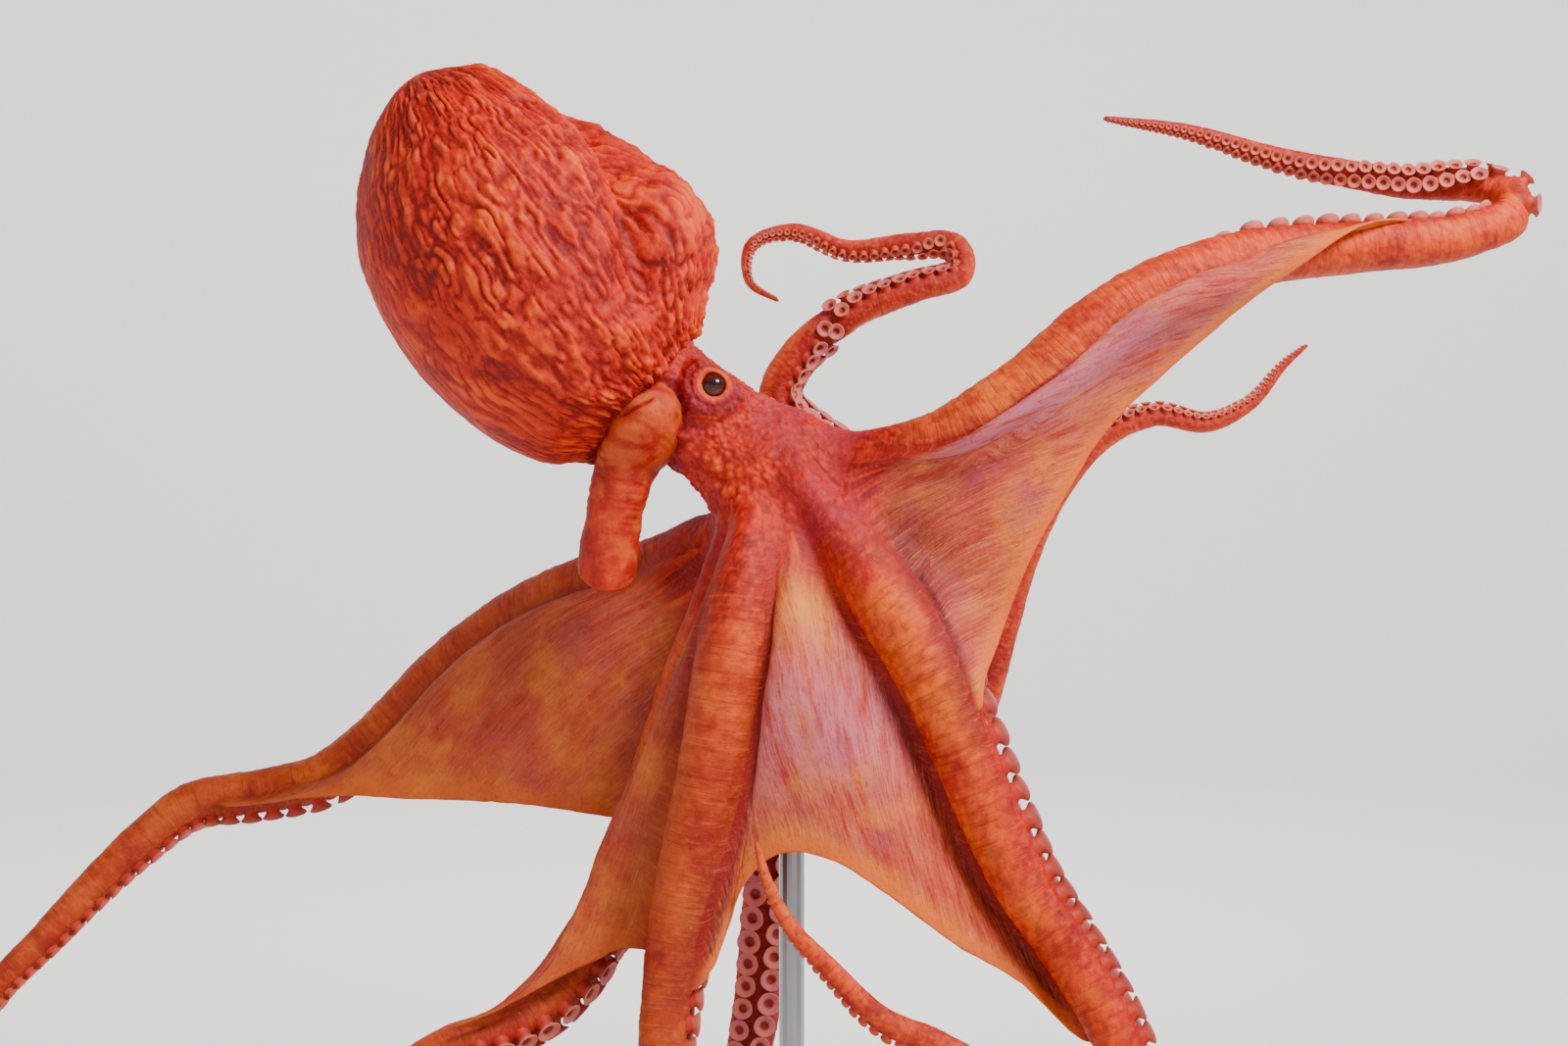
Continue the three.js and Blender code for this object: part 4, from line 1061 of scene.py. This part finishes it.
class Graph:
    # the nodes of one material
    def __init__(self, name):
        self.material = bpy.data.materials.new(name)
        self.material.use_nodes = True
        self.tree = self.material.node_tree
        self.tree.nodes.clear()

    def put(self, socket, value):
        if isinstance(value, Wire):
            self.tree.links.new(value.socket, socket)
        else:
            socket.default_value = value

    # any node: its type, its settings, then its sockets in order or by name
    def node(self, kind, settings=None, *inOrder, **named):
        made = self.tree.nodes.new(kind)
        for key, value in (settings or {}).items():
            setattr(made, key, value)
        for socket, value in zip(made.inputs, inOrder):
            self.put(socket, value)
        for key, value in named.items():
            self.put(made.inputs[key.replace("_", " ")], value)
        return Wire(self, made)

    def maths(self, operation, *values):
        return self.node("ShaderNodeMath", {"operation": operation}, *values)

    def vector(self, operation, *values):
        return self.node("ShaderNodeVectorMath", {"operation": operation}, *values)

    # colour a where the factor is 0, colour b where it is 1
    def blend(self, factor, a, b):
        made = self.node("ShaderNodeMix", {"data_type": "RGBA"})
        sockets = {socket.identifier: socket for socket in made.node.inputs}
        for key, value in (("Factor_Float", factor), ("A_Color", a), ("B_Color", b)):
            self.put(sockets[key], value)
        return made[[socket.identifier for socket in made.node.outputs].index("Result_Color")]

    # lays colours over one another, each given as (where, red, green, blue)
    def paint(self, base, *coats):
        for where, *rgb in coats:
            base = self.blend(where, base, tint(*rgb))
        return base

    # the three numbers of an attribute or a vector
    def fact(self, name):
        return self.parts(self.node("ShaderNodeAttribute", {"attribute_name": name})["Vector"])

    def parts(self, vector):
        made = self.node("ShaderNodeSeparateXYZ", Vector=vector)
        return made["X"], made["Y"], made["Z"]

    def at(self):
        return self.node("ShaderNodeTexCoord")["Object"]

    def joined(self, x, y, z):
        return self.node("ShaderNodeCombineXYZ", X=x, Y=y, Z=z)["Vector"]

    def noise(self, vector, scale, detail=3.0, roughness=0.5):
        sockets = {"Vector": vector, "Scale": scale, "Detail": detail, "Roughness": roughness}
        return self.node("ShaderNodeTexNoise", **sockets)["Fac"]

    def bump(self, height, strength, distance):
        return self.node("ShaderNodeBump", Strength=strength, Distance=distance, Height=height)["Normal"]

    def finish(self, **values):
        shader = self.node("ShaderNodeBsdfPrincipled", **values)
        self.node("ShaderNodeOutputMaterial", Surface=shader["BSDF"])
        return self.material


def skinMaterial():
    g = Graph("octopus_skin")
    along, oral, web = g.fact("place")
    crestLightAndToneHere, mantleHere, headHere = g.fact("reliefLightAndMasks")
    weaveU, weaveV, rim = g.fact("weave")
    outerBandAndHighlight, groove, dull = g.fact("toneAndShade")
    goldAndHemHighlight, paintedShade, lilacAndHighlight = g.fact("patchesAndPaintedLight")
    at = g.at()
    cloud = g.noise(at, 7.0, 4.0, 0.6)
    patch = g.noise(g.vector("ADD", at, (3.0, 1.0, 7.0)), 15.0, 5.0, 0.62)
    violet = g.noise(g.vector("ADD", at, (9.0, 4.0, 2.0)), 11.0, 5.0, 0.62)
    speck = g.noise(at, 230.0, 4.0, 0.7)
    fine = g.noise(at, 420.0, 4.0, 0.65)

    # arms: red flesh, an orange band down the outer face, partly painted highlight, with golden patches;
    # lighter crests as painted highlight; darker hollows and crimson in the grooves as painted shade
    arm = g.paint(
        tint(150, 14, 6),
        (cloud.ramp(0.35, 0.65), 186, 34, 10),
        (outerBandAndHighlight * patch.ramp(0.3, 0.6), 216, 66, 12),
        (outerBandAndHighlight * patch.ramp(0.55, 0.75) * 0.75, 226, 112, 16),
        (goldAndHemHighlight * patch.ramp(0.3, 0.65) * 0.85, 234, 108, 14),
        # painted highlight on the crests, painted shade in the hollows
        (crestLightAndToneHere.ramp(0.0, 0.6) * 0.35, 238, 112, 44),
        ((1.0 - crestLightAndToneHere.ramp(-0.3, 0.05)) * 0.35, 112, 6, 6),
        # painted shade in the grooves beside the webs
        (groove * 0.7, 112, 4, 8),
        (violet.ramp(0.55, 0.75) * 0.45, 150, 34, 52),
    )

    # webs: salmon and peach with streaks that run out to the free edge, painted shade in the folds, a lilac
    # painted highlight streak, and an orange hem that is partly painted highlight
    streak = g.noise(g.joined(weaveU * 0.46, weaveV * 0.045, along * 9.0), 1.0, 4.0, 0.7)
    broad = g.noise(g.joined(weaveU * 0.09, weaveV * 0.014, along * 5.0), 1.0, 3.0, 0.6)
    shade = g.maths("MINIMUM", groove * 0.7 + paintedShade, 1.0)
    sheet = g.paint(
        tint(176, 44, 26),
        (broad.ramp(0.3, 0.7), 206, 92, 62),
        (patch.ramp(0.48, 0.7) * 0.8, 222, 118, 34),
        (violet.ramp(0.5, 0.7) * 0.65, 158, 62, 84),
        # gold patches, and painted highlight along the hem
        (goldAndHemHighlight * patch.ramp(0.2, 0.55) * 0.9, 238, 136, 34),
        # lilac, partly a painted highlight streak
        (lilacAndHighlight * broad.ramp(0.25, 0.6) * 0.75, 196, 112, 140),
        (streak.ramp(0.5, 0.75) * 0.4, 234, 146, 112),
        ((1.0 - streak.ramp(0.28, 0.5)) * 0.6, 128, 14, 14),
        (shade * (1.0 - streak.ramp(0.45, 0.68)) * 0.6 + shade * 0.36, 92, 3, 14),
        # the hem: its own orange, partly painted highlight
        (rim.ramp(0.7, 1.0) * 0.8, 222, 96, 30),
    )

    # the mantle and head: orange crests over maroon, the crests lighter as painted highlight and the hollows
    # darker as painted shade
    body = g.paint(
        tint(112, 6, 4),
        (cloud.ramp(0.3, 0.7), 158, 18, 6),
        (crestLightAndToneHere.ramp(-0.5, 0.45), 196, 36, 5),
        (crestLightAndToneHere.ramp(0.2, 1.1) * patch.ramp(0.3, 0.65), 230, 88, 16),
        (headHere * violet.ramp(0.45, 0.65) * 0.55, 170, 44, 58),
    )
    base = g.blend(web.ramp(0.1, 1.0), arm, sheet)
    base = g.blend(g.maths("MINIMUM", mantleHere + headHere, 1.0), base, body)

    # rear arms are ochre and brown, the sucker side is dusky pink, and fine wrinkles run across the arms
    ochre = g.paint(tint(134, 32, 10), (patch.ramp(0.3, 0.75), 190, 88, 20))
    x, y, z = g.parts(at)
    wrinkle = g.noise(g.joined(along * 300.0, (x + y) * 26.0, z * 26.0), 1.0, 3.0, 0.6)
    onArm = (1.0 - web) * along.ramp(0.02, 0.12)
    base = g.paint(
        g.blend(dull * 0.55, base, ochre),
        (oral.ramp(0.3, 0.9) * 0.7, 150, 46, 44),
        (speck.ramp(0.52, 0.75) * 0.25, 236, 110, 50),
        ((1.0 - speck.ramp(0.25, 0.48)) * 0.4, 96, 6, 8),
        ((1.0 - wrinkle.ramp(0.3, 0.48)) * onArm * 0.45, 128, 10, 10),
        (wrinkle.ramp(0.55, 0.72) * onArm * 0.3, 230, 104, 52),
    )
    lift = fine * 0.35 + speck + streak * web * 0.5 + wrinkle * onArm * 1.6
    return g.finish(
        Base_Color=base, Roughness=0.48 + speck * 0.24, Normal=g.bump(lift, 0.7, 0.0013),
        Subsurface_Weight=0.12, Subsurface_Radius=(1.0, 0.25, 0.12), Subsurface_Scale=0.008,
        Specular_IOR_Level=0.28,
    )


skinPiece.data.materials.append(skinMaterial())
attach(skinPiece, "root")
fleshNodes = [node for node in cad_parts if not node.startswith(("stand", "eye"))]
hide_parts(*fleshNodes)


# a round shape turned about an axis, as (points, faces), from a profile of (radius, height)
def turned(profile, count, ripple=None):
    a = np.arange(count) * 2 * np.pi / count
    rows = []
    for i, (radius, high) in enumerate(profile):
        r = radius * (1 + (ripple(a, i) if ripple else 0))
        rows.append(np.stack([np.cos(a) * r, np.sin(a) * r, np.full(count, high)], axis=-1))
    ids = np.arange(len(profile) * count).reshape(-1, count)
    quads = []
    for low, high in zip(ids, ids[1:]):
        quads.append(np.stack([low, np.roll(low, -1), np.roll(high, -1), high], axis=1))
    return np.concatenate(rows), np.concatenate(quads)


# two rows of suckers on each arm, in steps of the arm's own width, so that they shrink to the tip
suckerSize = {
    "first": 88.0, "stagger": 13, "gap": (0.86, 1.5),
    "radius": 0.47, "aside": 0.42, "under": 0.6, "splay": 0.26, "uneven": 0.1,  # of the arm's width
    "fineOver": 4.2, "tall": 1.08, "plainTall": 0.9,
    "profile": [
        (1.0, -0.55), (0.84, 0.14), (0.7, 0.34), (0.65, 0.5), (0.71, 0.64), (0.86, 0.8), (0.99, 0.92),
        (1.0, 0.97), (0.95, 1.0), (0.85, 0.97), (0.7, 0.9), (0.56, 0.83), (0.45, 0.79), (0.41, 0.74),
        (0.4, 0.64), (0.36, 0.54), (0.22, 0.48), (0.001, 0.46),
    ],
    "plainRows": (0, 2, 4, 6, 8, 11, 14, 17),
}


# fine grooves run in over the rim, which isn't quite round
def suckerRipple(a, row):
    return 0.028 * np.cos(16 * a) * (8 <= row <= 13) + 0.012 * np.cos(5 * a)


rich = turned(suckerSize["profile"], 32, suckerRipple)
plain = turned([suckerSize["profile"][i] for i in suckerSize["plainRows"]], 16)
cupPoints, cupFaces, cupFacts, total = [], [], [], 0
for k, arm in enumerate(arms):
    for side in (-1, 1):
        along = suckerSize["first"] + (suckerSize["stagger"] if side > 0 else 0)
        number = 0
        while along < arm["length"] - 6:
            wide = float(armWidth(arm, along))
            middle, heading, under, toNext = armFrame(arm, along)
            wobble = scramble(np.array([number]), np.array([k]), np.array([side + 2]), 91)[0] - 0.5
            uneven = suckerSize["uneven"] * wobble
            radius = wide * suckerSize["radius"] * (1 + uneven)
            axis = unit(under + toNext * side * (suckerSize["splay"] + uneven) + heading * 0.12 * wobble)
            across = unit(np.cross(axis, heading))
            lengthways = np.cross(across, axis)
            foot = middle + under * wide * suckerSize["under"] + toNext * side * wide * suckerSize["aside"]
            fine = radius > suckerSize["fineOver"]
            shape, quads = rich if fine else plain
            tall = radius * (suckerSize["tall"] if fine else suckerSize["plainTall"])
            x, y, z = shape.T[..., None]
            cupPoints.append(foot + (lengthways * x + across * y) * radius + axis * z * tall)
            cupFaces.append(quads + total)
            inside = np.clip(1 - np.hypot(x, y), 0, 1)
            cupFacts.append(np.column_stack([z, inside, np.full(len(shape), along / arm["length"])]))
            total += len(shape)
            along += wide * suckerSize["gap"][0] + suckerSize["gap"][1]
            number += 1
cupPoints, cupFaces, cupFacts = [np.concatenate(part) for part in (cupPoints, cupFaces, cupFacts)]
print("suckers:", total, "points,", len(cupFaces), "faces")
suckers = makeMesh("suckers", cupPoints, cupFaces, {"cup": cupFacts.T})


def suckerMaterial():
    g = Graph("sucker_skin")
    high, inside, along = g.fact("cup")
    at = g.at()
    cloud = g.noise(at, 40.0, 3.0)
    base = g.paint(
        tint(172, 36, 18),
        (high.ramp(0.35, 0.9), 208, 110, 92),
        (high.ramp(0.65, 0.95) * cloud.ramp(0.35, 0.65) * 0.6, 182, 90, 120),
        (along.ramp(0.5, 0.9) * 0.6, 208, 84, 42),
        (inside.ramp(0.4, 0.75) * 0.7, 140, 44, 50),
    )
    grain = g.noise(at, 600.0, 3.0)
    return g.finish(
        Base_Color=base, Roughness=0.46 + grain * 0.2, Normal=g.bump(grain, 0.4, 0.0006),
        Subsurface_Weight=0.15, Subsurface_Radius=(1.0, 0.4, 0.3), Subsurface_Scale=0.006,
        Specular_IOR_Level=0.3,
    )


suckers.data.materials.append(suckerMaterial())
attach(suckers, "root")


# eyeballs with a level slit for a pupil
def eyeMaterial():
    g = Graph("eye")
    ring, slit = g.fact("eye")[:2]
    threads = g.noise(g.at(), 500.0, 3.0)
    base = g.paint(
        tint(66, 22, 22),
        (ring.ramp(0.45, 0.9), 14, 5, 9),
        (threads.ramp(0.4, 0.7) * 0.45, 112, 50, 34),
        (slit, 3, 2, 4),
    )
    return g.finish(
        Base_Color=base, Roughness=0.1, Specular_IOR_Level=0.3, Coat_Weight=0.25, Coat_Roughness=0.03,
    )


eyeball = {
    "rings": 48, "around": 64, "size": 0.985, "cornea": 0.05,
    "slitHalf": (0.52, 0.16), "slitBend": 0.12,
}
for eye in eyes:
    n = eyeball["rings"]
    profile = [(math.sin(math.pi * i / n), -math.cos(math.pi * i / n)) for i in range(1, n)]
    shape, quads = turned([(0.001, -1)] + profile + [(0.001, 1)], eyeball["around"])
    ring = np.hypot(shape[:, 0], shape[:, 1])
    cornea = eyeball["cornea"] * hump(ring, 0, 0.6) * (shape[:, 2] > 0)
    shape = shape * (1 + cornea[:, None]) * eye["radius"] * eyeball["size"]
    side = unit(np.cross(np.array([0, 0, 1.0]), eye["axis"]))
    upright = np.cross(eye["axis"], side)
    x, y, z = shape.T
    slitWide, slitHigh = eyeball["slitHalf"]
    slit = slitHigh - np.abs(y / eye["radius"]) - eyeball["slitBend"] * (x / eye["radius"]) ** 2
    slit = ease(slit / 0.03) * (np.abs(x) < eye["radius"] * slitWide) * (z > 0)
    placed = eye["at"] + side * x[:, None] + upright * y[:, None] + eye["axis"] * z[:, None]
    ball = makeMesh(eye["name"] + "_ball", placed, quads, {"eye": (ring, slit, slit)})
    ball.data.materials.append(eyeMaterial())
    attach(ball, "root")
    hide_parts(eye["name"])


# the stand keeps its own shapes and gets finishes
def standMaterial(name, finish):
    g = Graph(name)
    at = g.at()
    if "stretch" in finish:
        at = g.vector("MULTIPLY", at, finish["stretch"])
    grain = g.noise(at, finish["scale"], finish["detail"])
    rough, roughMore = finish["rough"]
    return g.finish(
        Base_Color=g.blend(grain, *finish["colours"]), Metallic=finish["metal"],
        Roughness=rough + grain * roughMore, Normal=g.bump(grain, *finish["bump"]),
    )


board = {
    "scale": 240.0, "detail": 4.0, "colours": (tint(44, 46, 50), tint(52, 54, 58)),
    "rough": (0.45, 0.1), "bump": (0.15, 0.0004), "metal": 0.0,
}
rod = {
    "stretch": (900.0, 900.0, 30.0), "scale": 1.0, "detail": 3.0,
    "colours": (tint(150, 152, 155), tint(178, 180, 182)),
    "rough": (0.28, 0.12), "bump": (0.1, 0.0002), "metal": 1.0,
}
for node, name, finish in (("stand_base", "painted_board", board), ("stand_rod", "brushed_rod", rod)):
    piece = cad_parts[node]
    piece.data.materials.clear()
    piece.data.materials.append(standMaterial(name, finish))


# a pale floor that sweeps up into a wall all round, in metres
def paleRoom():
    g = Graph("pale_paper")
    grain = g.noise(g.at(), 900.0, 2.0)
    paper = g.finish(
        Base_Color=tint(236, 236, 234), Roughness=0.85 + grain * 0.1, Emission_Color=tint(236, 238, 240),
        Emission_Strength=0.22,
    )
    floor, bend, wall = 7.0, 2.5, 9.0
    bends = [math.radians(a) for a in range(0, 91, 6)]
    profile = [(0.001, 0.0), (2.0, 0.0), (4.5, 0.0)]
    profile += [(floor + bend * math.sin(a), bend * (1 - math.cos(a))) for a in bends]
    profile += [(floor + bend, wall)]
    shape, quads = turned(profile, 96)
    made = makeMesh("floor", shape / toMetres, quads)
    made.data.materials.append(paper)
    return made


paleRoom()

viewFrom = {"at": (0.09, -2.6, 0.93), "lens": 58.5}  # level, along +Y
camera = bpy.data.objects.new("camera", bpy.data.cameras.new("camera"))
bpy.context.scene.collection.objects.link(camera)
camera.location = viewFrom["at"]
camera.rotation_euler = (math.pi / 2, 0, 0)
camera.data.sensor_width = 36.0
camera.data.lens = viewFrom["lens"]
camera.data.clip_start = 0.05
bpy.context.scene.camera = camera


def softLight(name, at, toward, size, power):
    lamp = bpy.data.lights.new(name, "AREA")
    lamp.shape, lamp.size, lamp.energy = "SQUARE", size, power
    made = bpy.data.objects.new(name, lamp)
    bpy.context.scene.collection.objects.link(made)
    made.location = at
    way = np.array(toward) - np.array(at)
    made.rotation_euler = mathutils.Vector(way).to_track_quat("-Z", "Y").to_euler()


softLight("key", (1.6, -1.5, 3.0), (0, 0, 0.9), 1.0, 150)
softLight("fill", (-2.8, -2.6, 1.6), (0, 0, 0.8), 2.4, 10)
softLight("wall", (0, 2.0, 5.0), (0, 9.0, 1.6), 3.0, 520)
world = bpy.data.worlds.new("room")
bpy.context.scene.world = world
world.use_nodes = True
background = world.node_tree.nodes["Background"].inputs
background["Color"].default_value = (0.9, 0.92, 0.95, 1)
background["Strength"].default_value = 0.2
